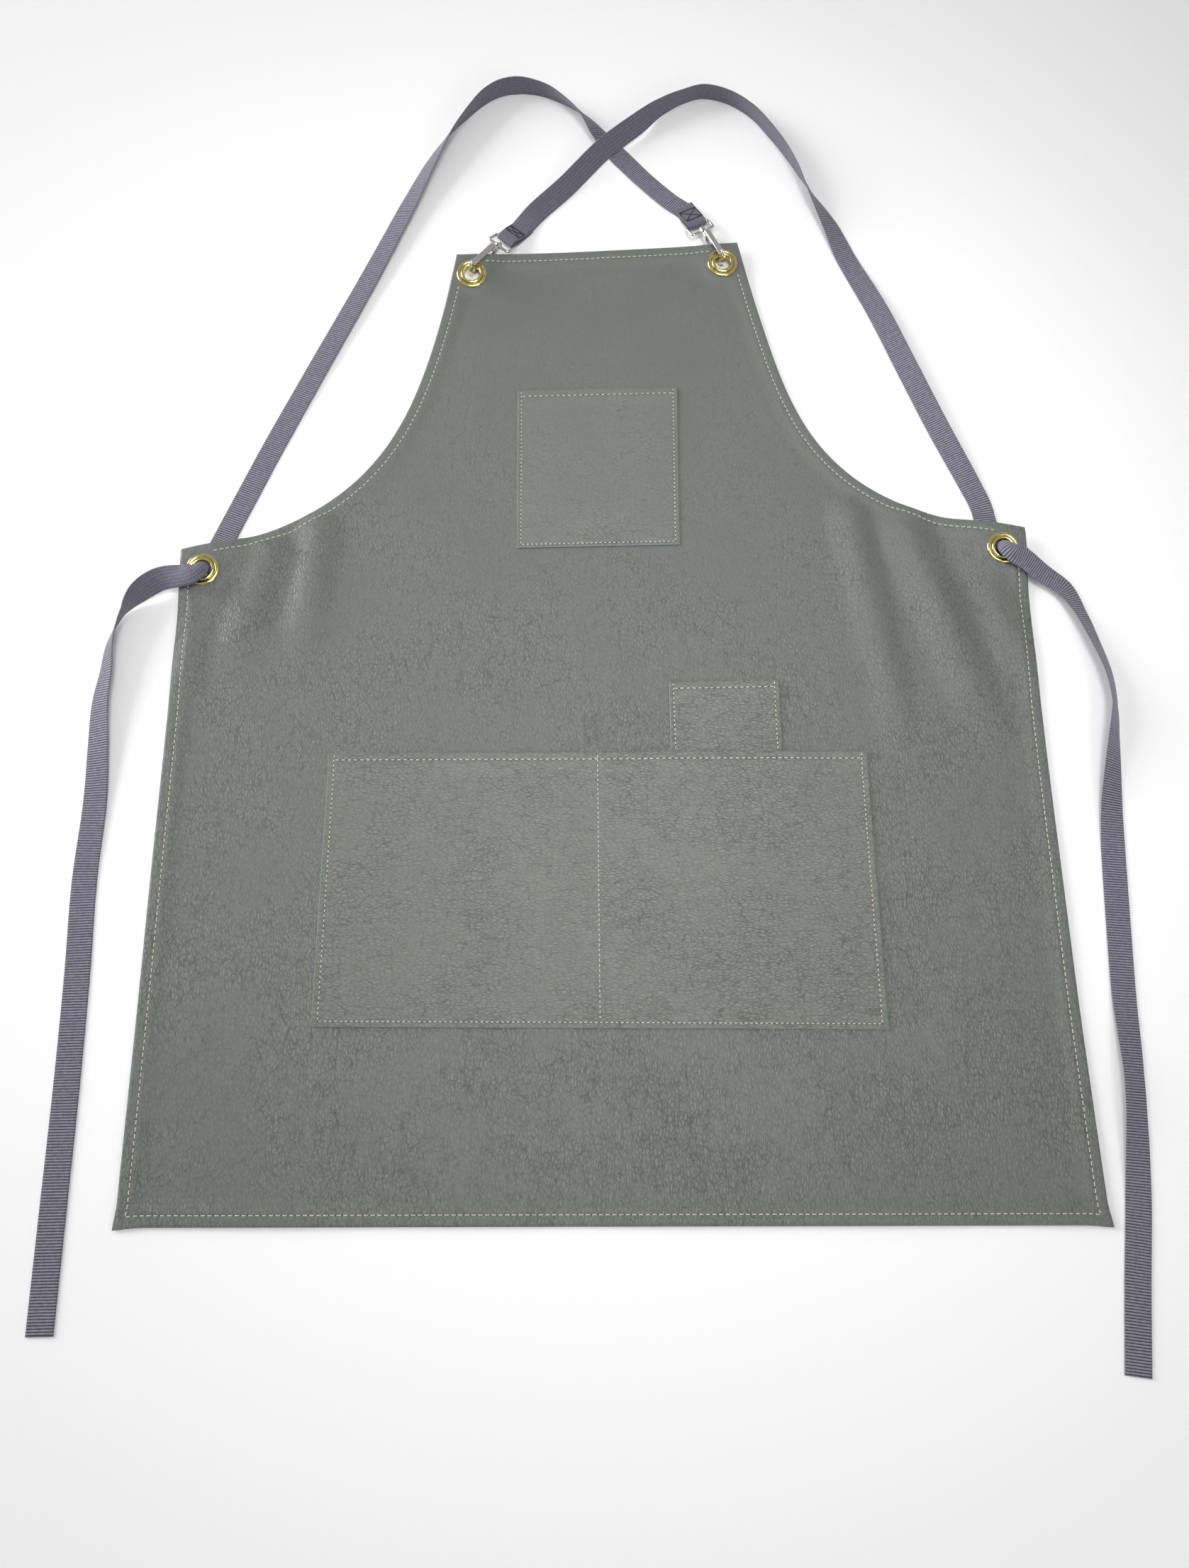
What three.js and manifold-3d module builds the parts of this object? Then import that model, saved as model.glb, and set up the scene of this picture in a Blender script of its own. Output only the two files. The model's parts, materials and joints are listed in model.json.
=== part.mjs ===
// A cross-back leather work apron, lying face up and flat.
// Millimetres. The floor is z = 0, +Y runs from the hem to the bib, and left and right are seen from above.
import * as THREE from 'three';
import { mergeVertices } from 'three/addons/utils/BufferGeometryUtils.js';
import Module from 'manifold-3d';

const { degToRad, lerp, smoothstep } = THREE.MathUtils;
const wasm = await Module();
wasm.setup();

// Leather: the body is one layer, and its edge is turned under to make a double hem with a round nose.
const GAP = 0.3;
const LEATHER = 1.3;
const HEM = { thick: 2.8, width: 11, runout: 3, nose: 2, blunt: 0.4 };
const POCKET = { layer: 1.2, thick: 2.4, width: 11, runout: 3, nose: 2, blunt: 0.4 };

// Outline of the body, as [x, y]. Each armhole is one cubic curve from the hip to the bib.
const HEM_LEFT = [-350, -397];
const HEM_RIGHT = [349, -402];
const HIP_LEFT = [-351, 126];
const HIP_RIGHT = [350, 151];
const BIB_LEFT = [-134, 425];
const BIB_RIGHT = [120, 442];
const ARMHOLE_LEFT = [[-179, 159], [-163, 271]];
const ARMHOLE_RIGHT = [[154, 175], [162, 277]];
const SIDE_BOW_RIGHT = 3;

// Grid steps over the body, closer together near its sides and hips than in the middle.
const BODY_STEPS = { across: 18, side: 10, armhole: 12 };
const HEM_FIRST = 0.045;
const HEM_CROWDING = 0.5;
const BIB_FIRST = 0.1;
const HIP_CROWDING = 1.5;

// Corners of the pockets, as [x, y].
const CHEST = { bottomLeft: [-77, 133], bottomRight: [59, 137], topRight: [61, 291], topLeft: [-78, 286] };
const LOWER = {
  bottomLeft: [-223, -260],
  bottomRight: [202, -264],
  topRight: [202, -46],
  topLeft: [-222, -48],
};
const PEN = { bottomLeft: [47, -88], bottomRight: [135, -88], topRight: [135, 15], topLeft: [46.5, 13] };
const PEN_RAMP = 9;

// Where the eyelets sit: the leather's underside is lifted there, and slopes down towards the hem.
const SEATS = {
  bib_left: { x: -120, y: 406, lift: 4.2, slope: 0.13, reach: 32 },
  bib_right: { x: 106, y: 421, lift: 4.2, slope: 0.13, reach: 32 },
  hip_left: { x: -332, y: 108, lift: 7.5, slope: 0.12, reach: 60 },
  hip_right: { x: 329, y: 132, lift: 7.5, slope: 0.12, reach: 60 },
};
const SEAT = { thick: 2.6, flat: 15, runout: 6, disc: 13.8, overlap: 0.4, sides: 16 };

// The hooks under the bib lift its top edge, and the leather comes down again over this reach.
const BIB_LIFT = 6.5;
const BIB_REACH = 70;
const BIB_SAG = 0.6;

// Soft folds near the hips: the crest's two ends, its height and how far it reaches sideways.
const FOLDS = [
  { from: [-240, 138], to: [-243, 60], height: 3, reach: 26 },
  { from: [-280, 118], to: [-302, 50], height: 3.5, reach: 26 },
  { from: [-322, 55], to: [-326, 5], height: 2.5, reach: 24 },
  { from: [210, 150], to: [216, 50], height: 2.5, reach: 26 },
  { from: [254, 148], to: [285, -5], height: 4, reach: 30 },
  { from: [320, 90], to: [335, 25], height: 3, reach: 26 },
];
const FOLD_FADE = 0.4;

// Brass eyelets, as radius and height above the leather's underside.
const EYELET = { hole: 7, barrel: 7.7, flange: 12.2, sides: 16 };
const EYELET_LIP = [[9.5, 3.9], [9.6, 4.4], [8.7, 4.9], [7.4, 4.7]];
const WASHER = [[8, 2.9], [13, 2.9], [12.7, 3.5], [11.6, 4.2], [10.6, 4.2], [9.9, 3.6], [8, 3.6]];
const LEATHER_HOLE = 8.1;
const CUT = 9;

// Webbing.
const WEB = { width: 19, thick: 1.3, across: 3 };

// Webbing sewn round the eye's bar: distance from the bar, and height. The flap is the short end.
const BAR_HEIGHT = 5;
const BAR_WRAP = 2.4;
const BAR_WIDTH = 18;
const BAR_CLEAR = 6;
const WRAP_ANGLES = [-75, -115, -155, -195, -235, -280];
const FLAP_UNDER = [[26, 0.8], [17, 1.1], [8, 1.8]];
const MAIN_OVER = [[4, 7.3], [10, 6], [19, 3.8]];
const FLAP_OVER = [[26, 2.5], [17, 3.6], [8, 6]];
const MAIN_UNDER = [[5, 2.3], [10, 1.7], [19, 0.9]];

// Webbing up through a hip eyelet: travel past the hole's axis, height of its crown, and how far it curls.
const THREADING = [
  { ahead: -26, height: 1.2, curl: 5 },
  { ahead: -15, height: 3.6, curl: 55 },
  { ahead: -10, height: 5, curl: 100 },
  { ahead: -7, height: 6, curl: 180 },
  { ahead: -5, height: 8.4, curl: 240 },
  { ahead: -4.6, height: 11.5, curl: 240 },
  { ahead: -3.2, height: 14.8, curl: 200 },
  { ahead: 0.2, height: 18.4, curl: 155 },
  { ahead: 5.5, height: 20, curl: 105 },
  { ahead: 12, height: 18.8, curl: 72 },
  { ahead: 19, height: 15, curl: 42 },
];
const THREAD_TURN = [0, 22];

// Webbing on the floor: its middle, its lower edge's height, and its lean, which lifts the edge on its left.
const COLUMNS = ['x', 'y', 'lift', 'lean'];
const STRAP_RIGHT_LOOP = [
  [-62, 478, 0, 20], [-35, 507, 0, 28], [0, 548, 2.5, 32], [31, 576, 2, 48], [54, 597, 0, 80],
  [75, 610, 0, 94], [95, 617, 0, 96], [119, 611, 0, 98], [141, 594, 0, 97], [156, 573, 0, 95],
  [170, 549, 0, 98], [181, 525, 0, 106], [192, 499, 0, 126], [208, 466, 0, 160], [220, 434, 0, 178],
  [245, 372, 0, 196], [266, 312, 0, 200], [287, 254, 0, 197], [309, 199, 0, 188], [318, 175, 0, 182],
];
const STRAP_RIGHT_TAIL = [
  [362, 108, 6, 175], [378, 96, 2.5, 166], [388, 76, 0, 146], [397, 48, 0, 137], [404, 20, 0, 130],
  [405, -8, 0, 123], [401, -35, 0, 136], [397, -62, 0, 152], [393, -91, 0, 168], [390, -125, 0, 180],
  [386, -180, 0, 180], [382, -240, 0, 177], [380, -297, 0, 160], [378, -326, 0, 162], [372, -384, 0, 180],
  [363, -443, 0, 180], [355, -500, 0, 180],
];
const STRAP_LEFT_LOOP = [
  [60, 495, 0.2, 2], [38, 518, 0, 3], [14, 547, 0, 0], [-4, 569, 0, 22], [-20, 590, 0, 52],
  [-48, 612, 0, 78], [-65, 619, 0, 86], [-82, 621, 0, 95], [-98, 617, 0, 94], [-113, 606, 0, 90],
  [-128, 587, 0, 78], [-144, 563, 0, 62], [-160, 531, 0, 42], [-181, 480, 0, 22], [-212, 403, 0, 12],
  [-250, 313, 0, 5], [-285, 229, 0, 0], [-303, 183, 0, 0], [-312, 160, 0, 0],
];
const STRAP_LEFT_TAIL = [
  [-366, 98, 6, -25], [-381, 86, 2.5, -60], [-392, 70, 0.5, -104], [-400, 44, 0, -124], [-401, 19, 0, -138],
  [-403, -7, 0, -149], [-401, -45, 0, -162], [-399, -86, 0, -174], [-400, -150, 0, -180],
  [-397, -221, 0, -180], [-395, -300, 0, -180], [-394, -385, 0, -180], [-393, -466, 0, -180],
];

// Snap hooks: the knuckle's place, and the heading from there to the nose.
const HOOKS = {
  left: { x: -98, y: 434.5, heading: 229 },
  right: { x: 90.3, y: 453.5, heading: -63 },
};
const KNUCKLE_HEIGHT = 8;
const EYE = { width: 25, depth: 11.2, corner: 2, wire: 1.3, sides: 6 };
const LUG = { radius: 3.3, hole: 1.9, length: 3.4 };
const BAR_SIDES = 10;
const POST = { radius: 1.6, head: 2.6, headLength: 1.2 };
const HOOK_WIRE = { radius: 1.7, low: 2, reach: 35, bend: 5, nose: 2.2, noseHeight: 15, sides: 8 };
const BLOCK = { from: 0.3, to: 7.4, width: 5.2, low: 2.6, high: 10.6 };
const GATE = { width: 5.2, slot: 2.6, tip: 32.4, top: 15.2, plate: 0.9 };
const HINGE = { along: 4.5, height: 13.2, pin: 0.7, ear: 1, sides: 12 };

// Finishes.
const finish = (color, roughness, metalness) => (
  new THREE.MeshStandardMaterial({ color, roughness, metalness })
);
const LEATHER_GREY = finish('#737874', 0.6, 0);
const WEBBING_MAUVE = finish('#7c7985', 0.85, 0);
const BRASS = finish('#c9b24a', 0.2, 1);
const NICKEL = finish('#c8c9c6', 0.15, 1);

// Small helpers.
const group = new THREE.Group();
const point = ([x, y]) => new THREE.Vector2(x, y);
const heading = (degrees) => new THREE.Vector3(Math.cos(degToRad(degrees)), Math.sin(degToRad(degrees)), 0);
const UP = new THREE.Vector3(0, 0, 1);
const even = (steps) => Array.from({ length: steps + 1 }, (_, i) => i / steps);

function named(name, geometry, material) {
  const mesh = new THREE.Mesh(geometry, material);
  mesh.name = name;
  return mesh;
}

function geometryFrom(positions, triangles) {
  const geometry = new THREE.BufferGeometry();
  geometry.setAttribute('position', new THREE.Float32BufferAttribute(positions, 3));
  geometry.setIndex(triangles);
  return geometry;
}

// Boolean solids.
function solid(geometry) {
  const bare = geometry.clone();
  bare.deleteAttribute('normal');
  bare.deleteAttribute('uv');
  const merged = mergeVertices(bare, 1e-4);
  const vertProperties = new Float32Array(merged.attributes.position.array);
  const triVerts = new Uint32Array(merged.index.array);
  return new wasm.Manifold(new wasm.Mesh({ numProp: 3, vertProperties, triVerts }));
}

function fromSolid(shape) {
  const { vertProperties, triVerts } = shape.getMesh();
  return geometryFrom(Array.from(vertProperties), Array.from(triVerts));
}

const box = (from, to, width, low, high) => new THREE.BoxGeometry(to - from, width, high - low)
  .translate((from + to) / 2, 0, (low + high) / 2);

// A bar along X, from one end to the other.
function roundBar(from, to, radius, height) {
  return new THREE.CylinderGeometry(radius, radius, to - from, BAR_SIDES)
    .rotateZ(Math.PI / 2).translate((from + to) / 2, 0, height);
}

// A flat sheet of leather inside four sides, each a row of points, with closely spaced rings along its edge.
function inset(loop, distance) {
  return loop.map((here, i) => {
    const before = loop.at(i - 1);
    const after = loop[(i + 1) % loop.length];
    const inwardOf = (a, b) => new THREE.Vector2(a.y - b.y, b.x - a.x).normalize();
    const first = inwardOf(before, here);
    const second = inwardOf(here, after);
    const mitre = first.clone().add(second).divideScalar(1 + first.dot(second));
    return here.clone().addScaledVector(mitre, distance);
  });
}

function sheet(sides, offsets, heights) {
  const loop = sides.flatMap((side) => side.slice(0, -1));
  const count = loop.length;
  const across = sides[0].length - 1;
  const up = sides[1].length - 1;
  const plan = offsets.flatMap((depth) => inset(loop, depth).map((at) => ({ at, depth })));
  const innermost = (offsets.length - 1) * count;
  const [start, end] = [plan[innermost].at, plan[innermost + across].at];
  const shareAlong = (column) => plan[innermost + column].at.distanceTo(start) / end.distanceTo(start);
  const leftIndex = (row) => innermost + ((count - row) % count);
  const rightIndex = (row) => innermost + across + row;
  const cellAt = (row, column) => {
    if (row === 0) return innermost + column;
    if (row === up) return innermost + 2 * across + up - column;
    if (column === 0) return leftIndex(row);
    if (column === across) return rightIndex(row);
    const at = plan[leftIndex(row)].at.clone().lerp(plan[rightIndex(row)].at, shareAlong(column));
    return plan.push({ at, depth: Infinity }) - 1;
  };
  const columns = [...sides[0].keys()];
  const cell = [...sides[1].keys()].map((row) => columns.map((column) => cellAt(row, column)));
  const faces = [];
  const quad = (a, b, c, d) => faces.push([a, b, c], [a, c, d]);
  for (let ring = 0; ring + 1 < offsets.length; ring += 1) {
    for (let i = 0; i < count; i += 1) {
      const next = (i + 1) % count;
      quad(ring * count + i, ring * count + next, (ring + 1) * count + next, (ring + 1) * count + i);
    }
  }
  for (let row = 0; row < up; row += 1) {
    for (let column = 0; column < across; column += 1) {
      quad(cell[row][column], cell[row][column + 1], cell[row + 1][column + 1], cell[row + 1][column]);
    }
  }
  const tops = plan.flatMap(({ at, depth }) => [at.x, at.y, heights(at.x, at.y, depth).high]);
  const bottoms = plan.flatMap(({ at, depth }) => [at.x, at.y, heights(at.x, at.y, depth).low]);
  const under = plan.length;
  const triangles = faces.flat().concat(faces.flatMap(([a, b, c]) => [a + under, c + under, b + under]));
  for (let i = 0; i < count; i += 1) {
    const next = (i + 1) % count;
    triangles.push(i + under, next + under, next, i + under, next, i);
  }
  return geometryFrom(tops.concat(bottoms), triangles);
}

// Points along an edge, which bows to the left of its direction.
function line(from, to, shares, bow = 0) {
  const [start, end] = [point(from), point(to)];
  const left = new THREE.Vector2(start.y - end.y, end.x - start.x).normalize();
  return shares.map((share) => start.clone().lerp(end, share)
    .addScaledVector(left, bow * 4 * share * (1 - share)));
}

// Half the thickness of a turned edge, at a distance in from its fold.
function noseHalf(depth, hem) {
  const inward = Math.min(depth / hem.nose, 1);
  return Math.max(Math.sqrt(1 - (1 - inward) ** 2), hem.blunt) * hem.thick / 2;
}

// How far the lying leather stands off the floor.
function foldLift(x, y) {
  const at = new THREE.Vector3(x, y, 0);
  const closest = new THREE.Vector3();
  const lifts = FOLDS.map(({ from, to, height, reach }) => {
    const crest = new THREE.Line3(new THREE.Vector3(...from, 0), new THREE.Vector3(...to, 0));
    crest.closestPointToPoint(at, true, closest);
    return height * (0.5 + 0.5 * Math.cos(Math.PI * Math.min(closest.distanceTo(at) / reach, 1)));
  });
  return Math.max(Math.max(...lifts) - FOLD_FADE, 0);
}

function bibLift(x, y) {
  const share = (x - BIB_LEFT[0]) / (BIB_RIGHT[0] - BIB_LEFT[0]);
  const below = Math.max(lerp(BIB_LEFT[1], BIB_RIGHT[1], share) - y, 0);
  const sag = 1 - BIB_SAG * (1 - (2 * share - 1) ** 2);
  return BIB_LIFT * sag * Math.max(1 - below / BIB_REACH, 0) ** 2;
}

function liftAt(x, y) {
  let lift = Math.max(bibLift(x, y), foldLift(x, y));
  for (const seat of Object.values(SEATS)) {
    const away = Math.hypot(x - seat.x, y - seat.y);
    const level = Math.max(seat.lift + seat.slope * (y - seat.y), 0);
    lift = lerp(level, lift, smoothstep(away, SEAT.flat, seat.reach));
  }
  return lift;
}

function bodyHeights(x, y, depth) {
  const lift = liftAt(x, y);
  const half = noseHalf(depth, HEM);
  const thinning = smoothstep(depth, HEM.width, HEM.width + HEM.runout);
  const low = lerp(HEM.thick / 2 - half, 0, thinning);
  const high = lerp(HEM.thick / 2 + half, LEATHER, thinning);
  const away = Math.min(...Object.values(SEATS).map((seat) => Math.hypot(x - seat.x, y - seat.y)));
  const seated = (1 - smoothstep(away, SEAT.flat, SEAT.flat + SEAT.runout)) * smoothstep(depth, 0, HEM.nose);
  return { low: lift + low, high: lift + lerp(high, SEAT.thick, seated) };
}

// The body: hem, right side and armhole, bib top, left armhole and side, pressed flat at the eyelets.
function placeSeat(geometry, seat) {
  return geometry.rotateX(Math.PI / 2).rotateX(Math.atan(seat.slope)).translate(seat.x, seat.y, seat.lift);
}

function seatDrum(seat, radius, low, high) {
  const drum = new THREE.CylinderGeometry(radius, radius, high - low, SEAT.sides);
  return solid(placeSeat(drum.translate(0, (low + high) / 2, 0), seat));
}

function apronBody() {
  const { across, side, armhole } = BODY_STEPS;
  const shares = (first, crowding) => [0, ...even(across - 2)
    .map((t) => lerp(first, 1 - first, t - crowding * Math.sin(2 * Math.PI * t) / (2 * Math.PI))), 1];
  const sideShares = even(side).map((t) => 1 - (1 - t) ** HIP_CROWDING);
  const curve = (hip, handles, bib) => new THREE.CubicBezierCurve(...[hip, ...handles, bib].map(point))
    .getSpacedPoints(armhole);
  const rightSide = line(HEM_RIGHT, HIP_RIGHT, sideShares, SIDE_BOW_RIGHT).slice(0, -1);
  const right = rightSide.concat(curve(HIP_RIGHT, ARMHOLE_RIGHT, BIB_RIGHT));
  const leftSide = line(HEM_LEFT, HIP_LEFT, sideShares).slice(0, -1);
  const left = leftSide.concat(curve(HIP_LEFT, ARMHOLE_LEFT, BIB_LEFT));
  const sides = [
    line(HEM_LEFT, HEM_RIGHT, shares(HEM_FIRST, HEM_CROWDING)),
    right,
    line(BIB_RIGHT, BIB_LEFT, shares(BIB_FIRST, 0)),
    left.reverse(),
  ];
  const offsets = [0, HEM.nose / 3, HEM.nose, HEM.width, HEM.width + HEM.runout];
  let body = solid(sheet(sides, offsets, bodyHeights));
  for (const seat of Object.values(SEATS)) {
    body = body.subtract(seatDrum(seat, SEAT.disc - SEAT.overlap, -CUT, CUT));
    body = body.add(seatDrum(seat, SEAT.disc, 0, SEAT.thick));
    body = body.subtract(seatDrum(seat, LEATHER_HOLE, -CUT, CUT));
  }
  return fromSolid(body);
}

// Patch pockets: one layer with a turned top hem, lying on the body.
function pocketSheet(corners, acrossShares, upShares, underside) {
  const { bottomLeft, bottomRight, topRight, topLeft } = corners;
  const flip = (shares) => shares.map((share) => 1 - share).reverse();
  const sides = [
    line(bottomLeft, bottomRight, acrossShares),
    line(bottomRight, topRight, upShares),
    line(topRight, topLeft, flip(acrossShares)),
    line(topLeft, bottomLeft, flip(upShares)),
  ];
  const topEdge = new THREE.Vector2().subVectors(point(topRight), point(topLeft)).normalize();
  const heights = (x, y) => {
    const depth = Math.max(topEdge.cross(point([x - topLeft[0], y - topLeft[1]])) * -1, 0);
    const half = noseHalf(depth, POCKET);
    const thinning = smoothstep(depth, POCKET.width, POCKET.width + POCKET.runout);
    const base = underside(x, y);
    const low = lerp(POCKET.thick / 2 - half, 0, thinning);
    const high = lerp(POCKET.thick / 2 + half, POCKET.layer, thinning);
    return { low: base + low, high: base + high };
  };
  const offsets = [0, POCKET.nose, POCKET.width, POCKET.width + POCKET.runout];
  return sheet(sides, offsets, heights);
}

const ON_BODY = LEATHER + GAP;
const ON_PEN = ON_BODY + POCKET.layer + GAP;

// The lower pocket steps up over the foot of the pen pocket.
function lowerUnderside(x, y) {
  const [left, foot] = PEN.bottomLeft;
  const right = PEN.bottomRight[0];
  const beside = Math.max(left - GAP - x, x - right - GAP, foot - GAP - y, 0);
  return lerp(ON_PEN, ON_BODY, smoothstep(beside, 1, PEN_RAMP));
}

function lowerPocket() {
  const wide = LOWER.bottomRight[0] - LOWER.bottomLeft[0];
  const tall = LOWER.topLeft[1] - LOWER.bottomLeft[1];
  const [penLeft, penFoot] = PEN.bottomLeft;
  const penRight = PEN.bottomRight[0];
  const clear = PEN_RAMP + 1;
  const stops = [penLeft - clear, penLeft - 2, (penLeft + penRight) / 2, penRight + 2, penRight + clear];
  const acrossShares = [0, 0.2, 0.4, ...stops.map((x) => (x - LOWER.bottomLeft[0]) / wide), 0.94, 1];
  const rows = [penFoot - clear, penFoot - 2];
  const upShares = [0, 0.3, 0.6, ...rows.map((y) => (y - LOWER.bottomLeft[1]) / tall), 0.9, 1];
  return pocketSheet(LOWER, acrossShares, upShares, lowerUnderside);
}

// Turned metal: a closed profile of radius and height, spun round the seat's axis.
function turned(profile, seat) {
  const closed = [...profile, profile[0]].map(point);
  return placeSeat(new THREE.LatheGeometry(closed, EYELET.sides), seat);
}

function eyelet(seat) {
  const { hole, barrel, flange } = EYELET;
  const back = [[hole, -0.7], [hole + 0.5, -1.1], [flange, -1.1], [flange, -GAP], [barrel, -GAP]];
  const front = [[barrel, EYELET_LIP[0][1]], ...EYELET_LIP, [hole, 4.1]];
  return turned([...back, ...front], seat);
}

// A skin over rings of points, with flat ends or joined into a loop.
function loft(rings, looped = false) {
  const count = rings[0].length;
  const last = rings.length - 1;
  const triangles = [];
  const quad = (a, b, c, d) => triangles.push(a, b, c, a, c, d);
  for (let ring = 0; ring < (looped ? rings.length : last); ring += 1) {
    const here = ring * count;
    const there = ((ring + 1) % rings.length) * count;
    for (let i = 0; i < count; i += 1) {
      const next = (i + 1) % count;
      const corners = [here + i, there + i, there + next, here + next];
      // The lower half splits its quads the other way, so both faces of a twisted band bend alike.
      if (i >= count / 2 && i < count - 1) corners.push(corners.shift());
      quad(...corners);
    }
  }
  if (!looped) {
    for (let i = 0; i < count / 2 - 1; i += 1) {
      const far = count - 1 - i;
      quad(i, i + 1, far - 1, far);
      quad(last * count + far, last * count + far - 1, last * count + i + 1, last * count + i);
    }
  }
  return geometryFrom(rings.flat().flatMap((at) => at.toArray()), triangles);
}

// Round wire along a flat path in X and Z.
function wire(path, radius, sides, looped = false) {
  const rings = path.map((here, i) => {
    const before = looped ? path.at(i - 1) : path[Math.max(i - 1, 0)];
    const after = looped ? path[(i + 1) % path.length] : path[Math.min(i + 1, path.length - 1)];
    const along = after.clone().sub(before).normalize();
    return Array.from({ length: sides }, (_, k) => {
      const turn = (k + 0.5) / sides * 2 * Math.PI;
      const out = radius * Math.cos(turn);
      return new THREE.Vector3(here.x - along.y * out, radius * Math.sin(turn), here.y + along.x * out);
    });
  });
  return loft(rings, looped);
}

// Webbing: rows of places with a sideways direction, lofted as a flat band that leans and curls.
function floorRows(table) {
  return table.map((values) => {
    const row = Object.fromEntries(COLUMNS.map((column, i) => [column, values[i]]));
    const lean = degToRad(row.lean);
    const rise = Math.abs(Math.sin(lean)) * WEB.width / 2 + Math.abs(Math.cos(lean)) * WEB.thick / 2;
    const at = new THREE.Vector3(row.x, row.y, row.lift + rise);
    return { at, lean: row.lean, curl: 0, width: WEB.width };
  });
}

function threadedRows(seat, entry, exit, lean) {
  return THREADING.map(({ ahead, height, curl }) => {
    const forward = heading(lerp(entry, exit, smoothstep(ahead, ...THREAD_TURN)));
    const at = new THREE.Vector3(seat.x, seat.y, height).addScaledVector(forward, ahead);
    const side = UP.clone().cross(forward);
    return { at, side, lean, curl: curl * Math.cos(degToRad(lean)), width: WEB.width };
  });
}

function sewnRows(hook, flap, main, wrapSign) {
  const back = heading(hook.heading + 180);
  const bar = new THREE.Vector3(hook.x, hook.y, 0).addScaledVector(back, EYE.depth + LUG.length / 2);
  const side = UP.clone().cross(back);
  const wrap = WRAP_ANGLES.map((angle) => degToRad(angle * wrapSign))
    .map((turn) => [BAR_WRAP * Math.cos(turn), BAR_HEIGHT + BAR_WRAP * Math.sin(turn)]);
  return [...flap, ...wrap, ...main].map(([away, height]) => ({
    at: bar.clone().addScaledVector(back, away).setZ(height),
    side,
    lean: 0,
    curl: 0,
    width: away < BAR_CLEAR ? BAR_WIDTH : WEB.width,
  }));
}

function band({ at, curl, width }, side, rise) {
  const spread = degToRad(curl || 0.1);
  const radius = width / spread;
  const turns = even(WEB.across).map((share) => (share - 0.5) * spread);
  const edge = (offset) => turns.map((turn) => at.clone()
    .addScaledVector(side, (radius + offset) * Math.sin(turn))
    .addScaledVector(rise, (radius + offset) * Math.cos(turn) - radius));
  return edge(WEB.thick / 2).concat(edge(-WEB.thick / 2).reverse());
}

function strap(rows) {
  const path = new THREE.CatmullRomCurve3(rows.map((row) => row.at));
  const last = rows.length - 1;
  const rings = rows.map((row, i) => {
    const along = path.getTangent(i / last);
    const level = rows[Math.min(i + 1, last)].at.clone().sub(rows[Math.max(i - 1, 0)].at).setZ(0);
    const side = row.side ? row.side.clone() : UP.clone().cross(level);
    side.addScaledVector(along, -side.dot(along)).normalize();
    side.applyAxisAngle(along, degToRad(row.lean));
    return band(row, side, along.clone().cross(side));
  });
  return loft(rings);
}

// Snap hooks, made in their own frame: +X runs from the knuckle to the nose.
function hookEye() {
  const halfWidth = EYE.width / 2 - EYE.wire;
  const far = -EYE.depth - LUG.length / 2;
  const near = -LUG.length / 2;
  const outline = new THREE.Path();
  outline.moveTo(near, 0);
  outline.lineTo(near, halfWidth - EYE.corner);
  outline.absarc(near - EYE.corner, halfWidth - EYE.corner, EYE.corner, 0, Math.PI / 2);
  outline.absarc(far + EYE.corner, halfWidth - EYE.corner, EYE.corner, Math.PI / 2, Math.PI);
  outline.absarc(far + EYE.corner, EYE.corner - halfWidth, EYE.corner, Math.PI, Math.PI * 1.5);
  outline.absarc(near - EYE.corner, EYE.corner - halfWidth, EYE.corner, Math.PI * 1.5, Math.PI * 2);
  const path = outline.getPoints(2).slice(0, -1);
  const drop = Math.atan((KNUCKLE_HEIGHT - BAR_HEIGHT) / EYE.depth);
  const ring = wire(path, EYE.wire, EYE.sides, true).rotateX(Math.PI / 2)
    .translate(-near, 0, 0).rotateY(-drop).translate(near, 0, KNUCKLE_HEIGHT);
  const lug = roundBar(-LUG.length, 0, LUG.radius, KNUCKLE_HEIGHT);
  const hole = roundBar(-LUG.length * 2, LUG.length, LUG.hole, KNUCKLE_HEIGHT);
  return fromSolid(solid(ring).add(solid(lug)).subtract(solid(hole)));
}

function crossBar(radius, width) {
  return new THREE.CylinderGeometry(radius, radius, width, HINGE.sides)
    .translate(HINGE.along, 0, HINGE.height);
}

function hookBody() {
  const { radius, low, reach, bend, nose, noseHeight, sides } = HOOK_WIRE;
  const path = new THREE.Path();
  path.moveTo(BLOCK.to - radius * 2, low + 3);
  path.lineTo(BLOCK.to + 2.5, low + 1.2);
  path.lineTo(BLOCK.to + 6.5, low);
  path.lineTo(reach - bend, low);
  path.absarc(reach - bend, low + bend, bend, -Math.PI / 2, 0);
  path.absarc(reach - nose, noseHeight, nose, 0, Math.PI / 2);
  path.lineTo(reach - nose - 1.2, noseHeight + nose);
  const headEnd = -LUG.length - GAP;
  const tongue = GATE.slot - GAP * 2;
  const pieces = [
    wire(path.getPoints(3), radius, sides),
    box(BLOCK.from, BLOCK.to, BLOCK.width, BLOCK.low, BLOCK.high),
    roundBar(headEnd - 0.2, BLOCK.from + 1, POST.radius, KNUCKLE_HEIGHT),
    roundBar(headEnd - POST.headLength, headEnd, POST.head, KNUCKLE_HEIGHT),
    box(HINGE.along - HINGE.ear, HINGE.along + HINGE.ear, tongue, BLOCK.high - 1, HINGE.height),
    crossBar(HINGE.ear, tongue),
    crossBar(HINGE.pin, GATE.width + 0.8),
  ];
  return fromSolid(pieces.map(solid).reduce((whole, piece) => whole.add(piece)));
}

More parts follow.
